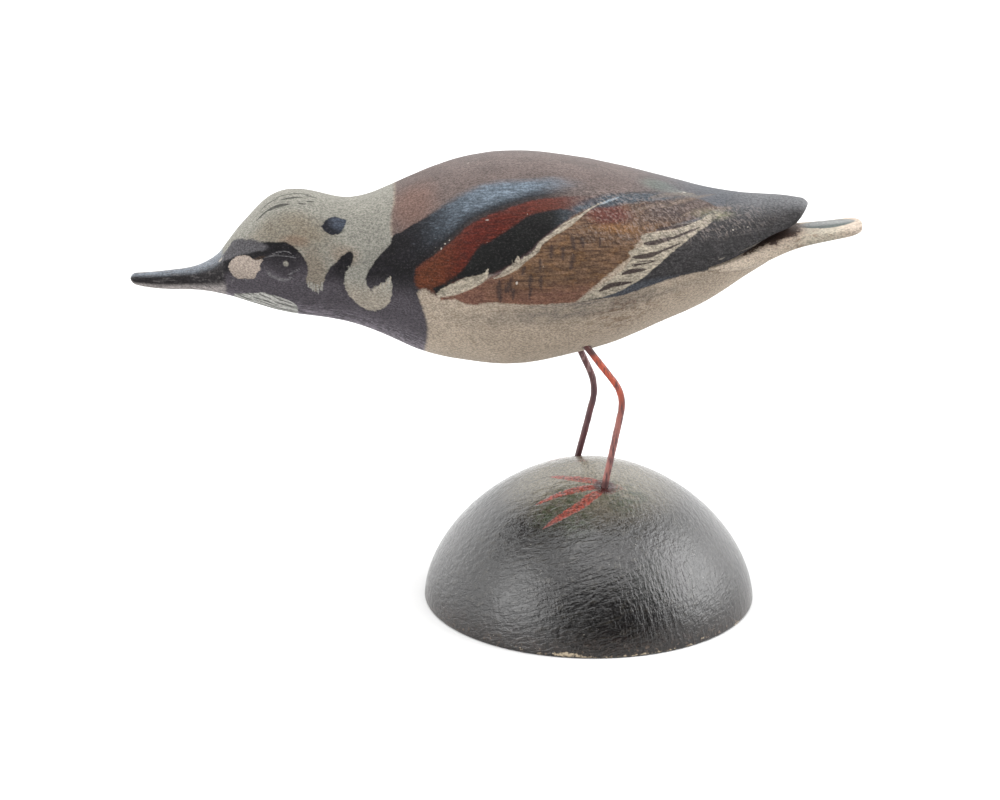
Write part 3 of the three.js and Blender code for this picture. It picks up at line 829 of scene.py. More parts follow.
def inside_by(u, v, outline, u_unit=1.0, v_unit=1.0):
    """Distance in mm to a closed outline, more than 0 inside it."""
    v_unit = np.broadcast_to(v_unit, u.shape)
    result = np.full(len(u), -REACH)
    margin = REACH / u_unit
    near = (u > outline[:, 0].min() - margin) & (u < outline[:, 0].max() + margin)
    u, v, v_unit = u[near], v[near], v_unit[near]
    best = np.full(len(u), REACH)
    odd = np.zeros(len(u), bool)
    for a, b in zip(outline, np.roll(outline, -1, 0)):
        best = np.minimum(best, to_segment(u, v, a, b, u_unit, v_unit)[0])
        if a[1] != b[1]:
            level = (a[1] > v) != (b[1] > v)
            odd ^= level & (u < a[0] + (v - a[1]) / (b[1] - a[1]) * (b[0] - a[0]))
    result[near] = np.where(odd, best, -best)
    return result


def across_strokes(u, v, strokes, u_unit=1.0, v_unit=1.0):
    """Signed distance across the nearest stroke and plain distance from it, in its half-widths."""
    v_unit = np.broadcast_to(v_unit, u.shape)
    across = np.full(len(u), REACH)
    away = np.full(len(u), REACH)
    for half_width, places in strokes:
        line = drawn(places, closed=False)
        margin = REACH * half_width / u_unit
        near = np.flatnonzero((u > line[:, 0].min() - margin) & (u < line[:, 0].max() + margin))
        for k in range(len(line) - 1):
            far, side, share = to_segment(u[near], v[near], line[k], line[k + 1], u_unit, v_unit[near])
            t = (k + share) / (len(line) - 1)
            taper = np.clip(np.sin(math.pi * t**STROKE_LEAN), 0, 1) ** STROKE_FULLNESS
            wide = half_width * np.maximum(taper, STROKE_TIP)
            ratio = far / wide
            better = ratio < np.abs(across[near])
            across[near[better]] = np.copysign(ratio, side)[better]
            away[near[better]] = (far / np.maximum(wide, LEAST_STROKE))[better]
    return np.stack([across, away, np.zeros(len(u))], 1)


def body_point(along, turn):
    """A point of the body's surface."""
    half_width, middle, half = body_section(along)
    y, z = oval(turn, half_width, half, round_above(along), round_below(along))
    return np.stack([x_at(along) - wing_slant(along) * (half - z), y, middle + z], -1)


def around_unit(half_width, half, turn):
    """The mm in a hundredth of the way around, at a turn of the body's section."""
    return math.pi / 100 * np.hypot(half_width * np.sin(turn), half * np.cos(turn))


def pattern_places(points):
    """Along, around and the mm in a hundredth around, for points of the body's surface."""
    x, y, z = points.T
    along = along_at(x)
    for _ in range(4):
        _, middle, half = body_section(np.clip(along, 0, BODY_END))
        along = along_at(x + wing_slant(along) * (half - (z - middle)))
    along = np.clip(along, 0, BODY_END)
    half_width, middle, half = body_section(along)
    power = np.where(z >= middle, round_above(along), round_below(along)) / 2
    c = (np.abs(y) / half_width) ** power
    s = np.sign(z - middle) * (np.abs(z - middle) / half) ** power
    turn = np.arctan2(s, c)
    unit = around_unit(half_width, half, turn)
    return along, 50 - 100 * turn / math.pi, np.maximum(unit, LEAST_UNIT)


def side_turns():
    """Turns round the body, closer together over the painted side than over ridge and keel."""
    start, end = PAINTED_SIDE
    plain = (1 - PAINTED_SIDE_SHARE) * BIRD_HALF_SIDES
    before = plain * start / (start + 100 - end)
    counts = [0, before, BIRD_HALF_SIDES - plain + before, BIRD_HALF_SIDES]
    run = np.interp(np.arange(BIRD_HALF_SIDES), counts, [0, start, end, 100])
    right = (50 - run) / 100 * math.pi
    return np.concatenate([[-math.pi / 2], right[:0:-1], math.pi - right])


def make_body(settings, finishes):
    """Head, body and folded wings, uneven from the knife, with a rounded end behind."""
    places = ring_places(BIRD_SPANS)
    turns = side_turns()
    rings = body_point(places[:, None], turns[None, :])
    _, middle, half = body_section(places)
    centre = np.stack([x_at(places), np.zeros(len(places)), middle], 1)[:, None, :]
    depth = settings.unevenness / MM * np.minimum(half / EVEN_BELOW, 1)[:, None]
    lumps = sum(ripple(rings, length, seed) * share for length, seed, share in BIRD_LUMPS)
    away = rings - centre
    away /= np.linalg.norm(away, axis=2, keepdims=True)
    rings = rings - away * (lumps * depth)[..., None]
    start = (x_at(0), 0, middle[0])
    end = np.array([x_at(WING_END[0]), 0, z_at(WING_END[1])])
    last = rings[-1]
    for turn in np.linspace(0, math.pi / 2, CAP_RINGS, endpoint=False)[1:]:
        shrink = math.cos(turn) ** CAP_BULGE
        keep = np.array([1 - math.sin(turn) ** CAP_BULGE, shrink, shrink])
        rings = np.concatenate([rings, (end + (last - end) * keep)[None]])
    return make_object("bird_painted", *skin(rings, start, end), finishes)


def make_tail(finishes):
    """The flat plank of rump and tail under the wing tips."""
    places = ring_places(TAIL_SPANS)
    turns = np.arange(TAIL_SIDES) / TAIL_SIDES * 2 * math.pi
    half_width, top, thick, half = tail_section(places)
    y, z = oval(turns[None, :], half_width[:, None], half[:, None], TAIL_ROUND, TAIL_ROUND)
    x = np.broadcast_to(x_at(places)[:, None], y.shape)
    middle = (top - thick)[:, None]
    rings = np.stack([x, y, middle + z], -1)
    ends = [(x_at(places[k]), 0, middle[k, 0]) for k in (0, -1)]
    return make_object("tail_plank", *skin(rings, *ends), finishes, 1)


def make_relief(side, finishes):
    """The wood that the knife takes away on one side, between the wing's edge and the tail."""
    rings = []
    centres = []
    for along in ring_places(RELIEF_SPANS):
        half_width, top, thick, _ = (float(v) for v in tail_section(along))
        upper = float(z_at(wing_edge(along)))
        lower = upper - float(relief(along)) / 100 * (upper - top + 2 * thick)
        core = float(web(along)) / 100 * half_width
        inner = half_width - RELIEF_BITE
        step = min(top - thick, upper - RELIEF_BITE / 2)
        bottom = min(lower, step)
        outer = [(WIDTH, bottom), (WIDTH, upper)]
        stepped = [(core, upper), (core, step), (inner, step), (inner, bottom)]
        ring = [(x_at(along), side * y, z) for y, z in outer + stepped]
        rings.append(ring if side > 0 else ring[::-1])
        centres.append((x_at(along), side * (inner + WIDTH) / 2, (upper + step) / 2))
    return make_object("knife_cut", *skin(np.array(rings), centres[0], centres[-1]), finishes, 2)


def belly_height(x, y):
    """Height of the belly's surface over a place."""
    half_width, middle, half = body_section(along_at(x))
    square = float(round_below(along_at(x)))
    return float(middle - half * (1 - abs(y / half_width) ** square) ** (1 / square))


def stand_height(x, y):
    """Height of the dome over a place."""
    share = np.minimum(np.hypot(x, y) / STAND_RADIUS, 1)
    return STAND_HEIGHT * (1 - share**STAND_SHOULDER) ** (1 / STAND_SHOULDER)


def leg_line(leg):
    """Where a leg leaves the stand and enters the bird, its knee, and the way to each end."""
    foot = Vector((leg["foot"], leg["side"] * FOOT_SPACING / 2, 0))
    foot.z = float(stand_height(foot.x, foot.y))
    hip = Vector((float(x_at(leg["hip"])), leg["side"] * HIP_SPACING / 2, 0))
    hip.z = belly_height(hip.x, hip.y)
    knee = foot.lerp(hip, leg["knee"])
    knee.x = leg["foot"] + KNEE_BACK
    return foot, hip, knee, (hip - knee).normalized(), (foot - knee).normalized()


def tube(name, line, radius, sides, finishes, finish=0):
    """A closed tube along a line of points; radius is one number, or one for each place and side."""
    line = np.array(line, float)
    ways = np.gradient(line, axis=0)
    ways /= np.linalg.norm(ways, axis=1, keepdims=True)
    first = np.cross(ways, (0, 1, 0))
    first /= np.linalg.norm(first, axis=1, keepdims=True)
    second = np.cross(ways, first)
    turns = np.arange(sides) / sides * 2 * math.pi
    c, s = np.cos(turns)[None, :, None], np.sin(turns)[None, :, None]
    out = first[:, None, :] * c + second[:, None, :] * s
    radius = np.broadcast_to(radius, (len(line), sides))
    rings = line[:, None, :] + out * radius[..., None]
    return make_object(name, *skin(rings[:, ::-1], line[0], line[-1]), finishes, finish)


def drill(piece, mouth, inward, depth, radius, finishes, finish):
    """Drills a hole into the piece from just outside its surface."""
    line = [mouth - inward * DRILL_START, mouth, mouth + inward * depth]
    carve(piece, tube("drill", line, radius, DRILL_SIDES, finishes, finish))


def mark_bird(mesh):
    """Stores the bird's paint pattern, fields and strokes on its mesh, and the tail's oval and its dark of
    stain and painted shade.
    """
    points = mesh_points(mesh)
    along, around, unit = pattern_places(points)
    behind = along_at(points[:, 0]) > BODY_END - CAP_MARGIN
    around = np.where(behind, np.minimum(around, 50), around)
    store(mesh, "pattern", np.stack([along, around, np.sign(points[:, 1])], 1))
    for name, outline in FIELDS.items():
        store(mesh, name, inside_by(along, around, drawn(outline), LENGTH / 100, unit))
    for name, strokes in STROKES.items():
        store(mesh, name, across_strokes(along, around, strokes, LENGTH / 100, unit))
    x, y, z = points.T
    top = tail_section(np.clip(along_at(x), TAIL_START, TAIL_END))[1]
    store(mesh, "oval", np.where(z > top - OVAL_DEPTH, inside_by(x, y, drawn(TAIL_OVAL)), -REACH))
    store(mesh, "stain_and_shade", inside_by(x, z, drawn(STAIN_AND_SHADE)))


def make_wire(name, leg, radius, finishes):
    """A leg's bent wire, uneven with paint, from its end in the stand to its end in the bird."""
    foot, hip, knee, up, down = leg_line(leg)
    above, below = knee + up * KNEE_BEND, knee + down * KNEE_BEND
    top, bottom = hip + up * WIRE_IN_BIRD, foot + down * WIRE_IN_STAND
    line = [bottom.lerp(below, t) for t in np.linspace(0, 1, LOWER_RINGS, endpoint=False)]
    for t in np.linspace(0, 1, KNEE_RINGS, endpoint=False):
        line.append(below.lerp(knee, t).lerp(knee.lerp(above, t), t))
    line += [above.lerp(top, t) for t in np.linspace(0, 1, UPPER_RINGS)]
    line = np.array([tuple(p) for p in line])
    turns = np.linspace(0, 2 * math.pi, WIRE_SIDES, endpoint=False)
    spread = np.stack([np.cos(turns), np.sin(turns), np.zeros(WIRE_SIDES)], 1) * WIRE_RADIUS
    lumps = ripple(line[:, None, :] + spread[None], *WIRE_LUMPS)
    return tube(name, line, radius - WIRE_UNEVENNESS * lumps, WIRE_SIDES, finishes)


def stand_profile():
    """Radius, height and run from the top of the dome to the middle of its underside."""
    turns = np.linspace(math.pi / 2, 0, PROFILE_STEPS)
    r, z = oval(turns, STAND_RADIUS, STAND_HEIGHT, STAND_SHOULDER, STAND_SHOULDER)
    keep = z > STAND_FOOT_EASE
    ease = np.linspace(0, math.pi / 2, EASE_STEPS)
    r = np.concatenate([r[keep], STAND_RADIUS - STAND_FOOT_EASE * (1 - np.cos(ease))])
    z = np.concatenate([z[keep], STAND_FOOT_EASE * (1 - np.sin(ease))])
    run = np.concatenate([[0], np.cumsum(np.hypot(np.diff(r), np.diff(z)))])
    places = np.linspace(FIRST_RING, run[-1], STAND_RINGS)
    below = np.linspace(STAND_RADIUS - STAND_FOOT_EASE, LAST_RING, UNDERSIDE_RINGS)[1:]
    return (
        np.concatenate([np.interp(places, run, r), below]),
        np.concatenate([np.interp(places, run, z), np.zeros(len(below))]),
        np.concatenate([places, np.full(len(below), run[-1])]),
    )


def make_dome(settings, finishes):
    """The domed stand, its surface uneven from the brush."""
    r, z, run = stand_profile()
    turn = np.arange(STAND_SIDES) / STAND_SIDES * 2 * math.pi
    slope = np.gradient(z, run + np.arange(len(run)) * RUN_GAP)
    c, s, r, z = np.cos(turn), np.sin(turn), r[:, None], z[:, None]
    plain = np.stack(np.broadcast_arrays(r * c, r * s, z), -1)
    marks = sum(
        ripple(plain * stretch, length, seed, waves) * share
        for stretch, length, seed, waves, share in BRUSH_MARKS
    )
    depth = (settings.brush_relief / MM) * marks * np.clip((z - MARKS_FROM) / MARKS_OVER, 0, 1)
    tilt = np.clip(-slope, 0, 1)[:, None]
    radius = r - depth * tilt
    height = z - depth * np.sqrt(1 - tilt**2)
    rings = np.stack([radius * c, radius * s, height], -1)
    return make_object("stand_painted", *skin(rings[::-1], (0, 0, 0), (0, 0, STAND_HEIGHT)), finishes)


def patches_field(x, y, patches, stretch=1):
    """How far in mm places lie inside the nearest of some round patches, stretched along x."""
    return np.max([size - np.hypot((x - a) / stretch, y - b) for a, b, size in patches], 0)


def toes_field(x, y):
    """How far in mm places lie inside the nearest toe of either foot."""
    toes = np.full(len(x), -REACH)
    for leg in LEGS.values():
        scale = 1.0 if leg["side"] < 0 else FAR_TOES
        u = (x - leg["foot"]) / scale + LEGS["left"]["foot"]
        v = (-leg["side"] * y + FOOT_SPACING / 2) / scale - FOOT_SPACING / 2
        for half_width, places in TOES:
            away = np.abs(across_strokes(u, v, [(half_width, places)])[:, 0])
            toes = np.maximum(toes, (1 - away) * half_width)
    return toes


def mark_stand(mesh):
    """Stores the toes, claws, smears, collars and chips on the stand's mesh."""
    x, y, z = mesh_points(mesh).T
    store(mesh, "toes", toes_field(x, y))
    store(mesh, "claws", across_strokes(x, y, CLAWS))
    store(mesh, "toe_ground", patches_field(x, y, GREEN_PATCHES))
    store(mesh, "smears", patches_field(x, y, RED_SMEARS, 2))
    holes = [leg_line(leg)[0] for leg in LEGS.values()]
    store(mesh, "collar", patches_field(x, y, [(hole.x, hole.y, COLLAR_REACH) for hole in holes]))
    angle = np.degrees(np.arctan2(y, x))
    chips = np.full(len(x), -REACH)
    for at, level, half_length, half_height in FOOT_CHIPS:
        aside = np.radians((angle - at + 180) % 360 - 180) * STAND_RADIUS / half_length
        chips = np.maximum(chips, (1 - np.hypot(aside, (z - level) / half_height)) * half_height)
    store(mesh, "chips", chips)
    store(mesh, "underside", (z < UNDERSIDE_LEVEL).astype(float))


def mark_sharp(mesh, degrees):
    mesh.set_sharp_from_angle(angle=math.radians(degrees))


def resize(piece, anchor, now, wanted):
    """Stretches a piece about a point of it to the sizes asked for."""
    factors = [w / n for w, n in zip(wanted, now)]
    shift = Matrix.Translation(anchor)
    piece.data.transform(shift @ Matrix.Diagonal((*factors, 1)) @ shift.inverted())


def place_on_body(piece, replaced):
    """The piece rides on the body and stands for its CAD node, which is hidden."""
    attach(piece, "root")
    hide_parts(replaced)


# The finishes.

# Oval on the tail from above, and from the side the dark under the wing tips, partly stain and partly
# painted shade, in mm.
TAIL_OVAL = [
    (33.6, 0, 1), (35.7, 1.9), (38.6, 2.9), (41.1, 2.5), (42.8, 1.4), (43.9, 0.2, 1), (42.6, -1.2),
    (41, -2), (38.6, -2.3), (35.7, -1.5),
]
STAIN_AND_SHADE = [
    (18, 61.2, 1), (23.7, 62.6), (25.3, 62.7), (27.3, 63.5), (28.8, 64), (29.9, 63.8), (30.7, 64.6),
    (33.3, 65.1), (34.8, 65.9, 1), (34.6, 80, 1), (18, 80, 1),
]
OVAL_DEPTH = 0.5
EYE = (21.7, 50.7)
# The place of the eye's painted highlight.
EYE_HIGHLIGHT = (21.9, 50.3)
LEFT = -1
FAR_SIDE_GAP = 20.0


class BrushedFinish(Finish):
    """Brushed oil paint on the bird's wood, with the unevenness that its patches share."""

    def __init__(self, name):
        super().__init__(name)
        self.hairs = self.noise(2.6, (0.16, 1, 1), 3, 0.65)
        self.patchy = self.noise(0.3, (0.5, 1, 1), 3, 0.55, shift=3)
        self.scrub = self.noise(1.1, (0.4, 1, 1), 3, 0.65, shift=13)
        self.ragged = self.noise(1.5, (0.7, 1, 1), 3, 0.7, shift=5) - 0.5
        self.grain = self.noise(4.0, (0.65, 1, 1), 3, 0.7, shift=7)
        self.speckle = self.step(self.grain, 0.34, 0.66)
        self.streaked = self.step(self.hairs, 0.36, 0.66)
        self.mottled = self.step(self.patchy, 0.3, 0.72)


class BirdFinish(BrushedFinish):
    """The bird's paint, laid out by its places along and around, its fields and its strokes."""

    def __init__(self, name):
        super().__init__(name)
        self.pattern = self.attribute("pattern", "Vector")
        self.along, self.around, _ = self.parts(self.pattern)
        self.field = {name: self.attribute(name) for name in FIELDS}
        broken = (self.hairs - 0.5) * 0.5
        self.edge = self.ragged * 0.8 + broken + (self.noise(0.5, shift=9) - 0.5) * 0.3

    def painted(self, name, soft=0.16, uneven=0.6):
        """A field: 1 inside, 0 outside, its edge as soft and as uneven as asked, in mm."""
        return self.step(self.field[name] + self.edge * uneven, -soft, soft)

    def spot(self, place, half_length, half_height, side=0):
        """Distance from a place: 1 on the edge of an oval of that size. Side 0 is both sides."""
        along, around = place
        half_width, _, half = body_section(along)
        unit = around_unit(half_width, half, (50 - around) / 100 * math.pi)
        scale = (LENGTH / 100 / half_length, float(unit) / half_height, FAR_SIDE_GAP * abs(side))
        shift = (-along * scale[0], -around * scale[1], -side * scale[2])
        return self.vector("LENGTH", self.vector("MULTIPLY_ADD", self.pattern, scale, shift), out="Value")

    def zone(self, place, half_length, half_height, soft=0.5):
        """An oval patch with an uneven soft edge."""
        return self.step(self.spot(place, half_length, half_height) + self.edge * 0.5, 1 + soft, 1 - soft)

    def stroked(self, name, soft=0.3, uneven=0.5):
        return self.strokes(name, self.edge * uneven, soft)


def joined(a, b):
    """Two fields as one, with no gap where they meet."""
    return a.or_more(b).or_more((a + b) * 0.5 + 0.5)


def belly_coat(f, s):
    """Cream, browner where it is rubbed, greyer along the wing's edge as painted shade, and paler toward
    the keel as painted bounce light.
    """
    broad = f.noise(0.09, (0.6, 1, 1), 2, shift=11)
    rubbed = f.step(f.scrub, 0.5, 0.72) * 0.35 + f.step(broad, 0.5, 0.75) * 0.15
    # Painted shade: the belly greyer just under the wing's edge.
    painted_shade_under_wing = f.zone((62.5, 60.5), 15, 1.6, 0.7)
    return f.layered(
        f.two(s.cream, 0.88, 1.08, f.mottled),
        (rubbed, srgb(120, 100, 80)),
        (f.step(f.along, 44, 58) * 0.1, srgb(126, 104, 82)),
        # Painted bounce light: the belly paler toward the keel.
        (f.step(f.around, 58, 84) * 0.45, shade(s.cream, 1.5)),
        (painted_shade_under_wing * (0.2 + f.step(f.scrub, 0.35, 0.6) * 0.45), srgb(112, 106, 100)),
        (f.zone((67, 66), 5, 3.4, 0.6) * f.step(f.scrub, 0.45, 0.6) * 0.5, srgb(112, 86, 66)),
    )


def head_coat(f, s):
    """Olive cream with warm smudges."""
    return f.layered(
        f.two(s.olive, 0.9, 1.05, f.mottled),
        (f.streaked * 0.3, shade(s.olive, 0.64)),
        (f.zone((22.6, 33.5), 6.2, 3, 0.6) * (0.15 + f.patchy * 0.7), s.tan),
        (f.zone((23.2, 39.5), 2.2, 0.9, 0.6) * 0.3, srgb(128, 88, 66)),
        (f.zone((29.8, 42.5), 2.2, 1.5, 0.6) * 0.3, srgb(140, 108, 80)),
        (f.zone((25.6, 53), 2.4, 3.4, 0.5) * 0.6, srgb(126, 112, 96)),
    )


def saddle_coat(f, s):
    """Brown-grey back between the wings, slate toward the tail."""
    return f.layered(
        f.two(s.saddle, 0.84, 1.14, f.mottled),
        (f.streaked * 0.4, shade(s.saddle, 0.62)),
        (f.zone((39, 22), 3.6, 4.4, 0.6) * 0.5, srgb(124, 92, 80)),
        (f.zone((72, 10.5), 2.6, 1.6, 0.6) * 0.7, srgb(100, 108, 98)),
        (f.step(f.along, 66, 80) * 0.75, shade(s.slate, 0.75)),
    )


def coverts_coat(f, s):
    """Streaky brown, pinker in front and below, with a maroon patch and an ochre one."""
    pink = f.step(f.along, 55, 46).or_more(f.step(f.around, 49, 55) * 0.8)
    rear = f.step(f.along, 66, 72) * f.step(f.around, 34, 26)
    return f.layered(
        f.two(s.brown, 0.48, 1.42, f.step(f.noise(2.2, (0.1, 1, 1), 3, 0.6, shift=19), 0.32, 0.68)),
        (f.step(f.scrub, 0.48, 0.66) * 0.3, srgb(126, 88, 46)),
        (pink * 0.75, f.two(srgb(120, 82, 70), 0.8, 1.15, f.streaked)),
        (f.zone((65, 28), 3.6, 2.1, 0.5) * 0.75, srgb(92, 34, 30)),
        (f.zone((66.4, 33.4), 3.4, 0.8, 0.5) * (0.3 + f.patchy * 0.6), s.ochre),
        (rear * 0.85, f.two(srgb(76, 64, 62), 0.6, 1.2, f.streaked)),
    )


def wing_tips_coat(f, s):
    """Dark flight feathers, greyer above as painted sheen, and slate along the lower edge."""
    return f.layered(
        f.two(s.primaries, 0.6, 1.4, f.streaked),
        # Painted sheen: the tops of the wing tips lighter grey.
        (f.step(f.around, 34, 14) * f.step(f.along, 76, 86) * 0.85, srgb(102, 103, 106)),
        (f.zone((69.5, 56), 7, 1.1, 0.5) * 0.7, srgb(72, 76, 84)),
    )


def rear_wing(f, s, coat, tail_slate):
    """Lays on the coverts, the flight feathers, the streaks above them and the cream plumes."""
    below_back = 1 - f.step(f.around, 24, 8) * f.step(f.along, 86, 80)
    plume = f.two(s.plumes, 0.58, 1.15, f.streaked)
    return f.layered(
        coat,
        (f.painted("coverts", 0.22, 0.8), coverts_coat(f, s)),
        (f.painted("primaries", 0.2, 0.7) * below_back, wing_tips_coat(f, s)),
        (f.painted("slate_tail", 0.45, 0.9) * (1 - f.step(f.along, 73, 78)), tail_slate),
        (f.zone((75, 13), 2.4, 0.6, 0.6) * 0.6, srgb(118, 120, 116)),
        (f.stroked("tan_streaks", 0.5, 1.2) * (0.5 + f.streaked * 0.5) * 0.5, srgb(132, 114, 98)),
        (f.stroked("dark_lines", 0.4, 0.8) * 0.7, srgb(46, 46, 50)),
        (f.stroked("glint_lines", 0.4, 0.8) * 0.75, srgb(146, 160, 170)),
        (f.zone((79.4, 24.5), 3, 0.9, 0.6) * (0.3 + f.streaked * 0.6), srgb(126, 124, 100)),
        (f.painted("plumes", 0.14, 0.5) * (1 - f.step(f.along, 77, 81) * 0.7), plume),
    )


def band_coat(f, s):
    """Black shoulder and mask, slate with painted sheen along the band's upper edge, and the breast grey as
    painted light from below.
    """
    upper = f.step(0 - f.field["rust"], 0.4, 2.9) * f.step(f.along, 36.5, 45)
    # The band's upper edge: slate paint lightened as painted sheen, dark navy toward the front.
    slate = f.mix(f.step(f.along, 38, 50), srgb(18, 21, 29), f.two(s.slate, 1.1, 1.9, f.streaked))
    # Painted light: the breast below the shoulder grey rather than black, as lit from below.
    low = f.step(f.around, 48, 60).or_more(f.step(f.along, 30, 25) * f.step(f.around, 44, 56))
    # Painted bounce light: pale streaks along the keel.
    keel = f.step(f.around, 66, 90) * f.step(f.hairs, 0.42, 0.6)
    return f.layered(
        f.two(s.black, 0.7, 1.9, f.step(f.scrub, 0.36, 0.66)),
        (upper * (0.75 + f.hairs * 0.35), slate),
        # Painted sheen: pale bluish streaks of highlight along the band's upper edge.
        (upper * f.step(f.hairs, 0.56, 0.72) * 0.25, srgb(140, 152, 164)),
        (low * 0.92, f.mix(keel, f.two(s.breast, 0.88, 1.1, f.mottled), shade(s.breast, 4.6))),
    )


def rust_coat(f, s):
    """Rust red, browner in front and duller behind and along the band."""
    return f.layered(
        f.two(s.rust, 0.62, 1.3, f.streaked),
        (f.step(f.along, 47, 41) * 0.85, f.two(srgb(94, 49, 24), 0.7, 1.2, f.streaked)),
        (f.step(f.along, 50, 58) * 0.5, srgb(94, 50, 38)),
        (f.step(f.field["band"], -1.3, -0.1) * (0.1 + f.streaked * 0.35), srgb(98, 48, 38)),
    )


def lens_coat(f, tail_slate):
    """The black middle of the wing, slate at its rear point."""
    return f.layered(
        f.mix(f.mottled, srgb(5, 5, 6), srgb(12, 13, 12)),
        (f.step(f.hairs, 0.5, 0.7) * 0.25, srgb(34, 37, 36)),
        (f.step(f.along, 57, 61) * 0.8, tail_slate),
    )


def front_wing(f, s, coat, tail_slate):
    """Lays on the band, the rust stripe, the black lens, the pale lines under it and a grey line of painted
    shadow under the wing.
    """
    soft = 0.16 + f.step(f.along, 38, 46) * 0.85
    wing = joined(f.field["rust"], f.field["lens"])
    dark = joined(joined(f.field["band"], f.field["black"]), wing)
    slanted = f.noise(2.4, (0.2, 1, 1), 3, 0.6, shift=29, lean=25)
    pale = f.two(s.plumes, 0.6, 1.1, f.step(slanted, 0.36, 0.62))
    return f.layered(
        coat,
        (f.step(dark + f.edge * 0.6, 0 - soft, soft) * (1 - f.step(f.along, 55, 63)), band_coat(f, s)),
        (f.step(wing + f.edge * 0.8, -0.3, 0.3) * (1 - f.step(f.along, 57, 63) * 0.85), rust_coat(f, s)),
        (f.painted("lens", 0.28, 0.6), lens_coat(f, tail_slate)),
        (f.painted("blade", 0.12, 0.55), pale),
        (f.stroked("white_line", 0.3, 0.9) * (0.75 + f.streaked * 0.25), pale),
        (f.stroked("edge_lines", 0.5, 1.0) * (0.3 + f.streaked * 0.5), srgb(146, 138, 128)),
        # Painted shadow: a grey line under the coverts.
        (f.stroked("shadow_line_under_wing", 0.5, 1.2) * f.streaked * 0.6, srgb(84, 82, 84)),
    )


def face(f, s, coat):
    """Lays on the hook of the neck, the marks of the face and the last dark strokes of head and wing."""
    hook = f.two(srgb(158, 150, 137), 0.86, 1.14, f.streaked)
    throat = f.step(f.noise(2.6, (0.12, 1, 1), 2, 0.6, shift=17, lean=-14), 0.4, 0.56)
    spot_blue = f.mix(f.zone((29.1, 24.6), 1.5, 1.3, 0.6) * 0.8, srgb(26, 27, 35), srgb(70, 78, 92))
    return f.layered(
        coat,
        (f.painted("hook", 0.14, 1.3), f.mix(f.step(f.around, 50, 61), shade(s.olive, 1.02), hook)),
        (f.stroked("hook_hairs", 0.3, 0.6) * 0.85, hook),
        (f.painted("smear", 0.25, 0.8) * 0.9, f.two(srgb(86, 84, 87), 0.82, 1.14, f.mottled)),
        (f.painted("lore", 0.1, 0.7), f.two(srgb(166, 153, 142), 0.84, 1.06, f.mottled)),
        (f.zone((18.3, 46.8), 0.9, 0.22, 0.4) * 0.8, srgb(52, 38, 26)),
        (f.painted("chin", 0.12, 0.7), f.mix(throat, srgb(104, 104, 100), srgb(194, 193, 187))),
        (f.painted("spot", 0.14, 0.9), f.mix(f.streaked * 0.3, spot_blue, srgb(20, 20, 26))),
        (f.zone(EYE, 2.3, 1.7, 0.25) * 0.35, shade(s.black, 1.1)),
        (f.stroked("pale_hairs", 0.5, 0.9) * (0.35 + f.step(f.scrub, 0.4, 0.6) * 0.5), srgb(116, 114, 116)),
        (f.stroked("fringe", 0.5, 0.8) * 0.8, srgb(160, 158, 150)),
        # Painted highlight: a small pale spot in the eye.
        (f.zone(EYE_HIGHLIGHT, 0.44, 0.34, 0.35) * 0.9, srgb(150, 146, 136)),
        (f.stroked("crown_hairs", 0.35, 0.9) * 0.9, srgb(58, 58, 54)),
        (f.stroked("slits", 0.3, 0.6) * 0.92, srgb(50, 38, 38)),
        (f.stroked("ticks", 0.9, 1.0) * 0.7, srgb(50, 42, 42)),
    )


def bill_coat(f, s):
    """Dark, with a painted grey sheen on top and worn pale below."""
    worn = f.step(f.noise(2.8, (0.12, 1, 1), 3, 0.6, shift=37), 0.5, 0.66)
    return f.layered(
        s.bill,
        # Painted highlight: a bluish grey sheen along the top of the bill.
        (f.step(f.around, 38, 16) * (0.3 + f.hairs), srgb(128, 135, 144)),
        (f.step(f.around, 54, 70) * (0.5 + f.hairs * 0.8), srgb(172, 165, 162)),
        (worn * 0.6, srgb(92, 88, 88)),
    )


def wear_and_glints(f, s, coat, wrinkle, wrinkled_and_glinting):
    """Chips the paint, paints glints and shade on the crinkled varnish over the rear of the wing and dusts
    it all with specks, the finest partly painted glints.
    """
    for along, around, half_length, half_height in CHIPS:
        chip = f.spot((along, around), half_length, half_height, LEFT)
        coat = f.mix(f.step(chip + f.ragged * 1.6, 1.3, 0.7) * 0.8, coat, srgb(186, 178, 168))
    coat = f.layered(
        coat,
        # Painted glints and painted shade: light and dark flecks on the crinkles of the varnish.
        (f.step(wrinkle, 0.5, 0.62) * wrinkled_and_glinting * 0.3, srgb(160, 146, 140)),
        (f.step(wrinkle, 0.49, 0.38) * wrinkled_and_glinting * 0.4, shade(s.primaries, 0.5)),
        (f.step(f.noise(2.6, detail=1, shift=23), 0.79, 0.83) * 0.6, srgb(170, 162, 150)),
        # A fine light grain over all, partly dust and partly painted glints.
        (f.step(f.grain, 0.5, 0.74) * 0.07, srgb(160, 154, 150)),
    )
    return f.grained(coat, f.speckle, s.grain)


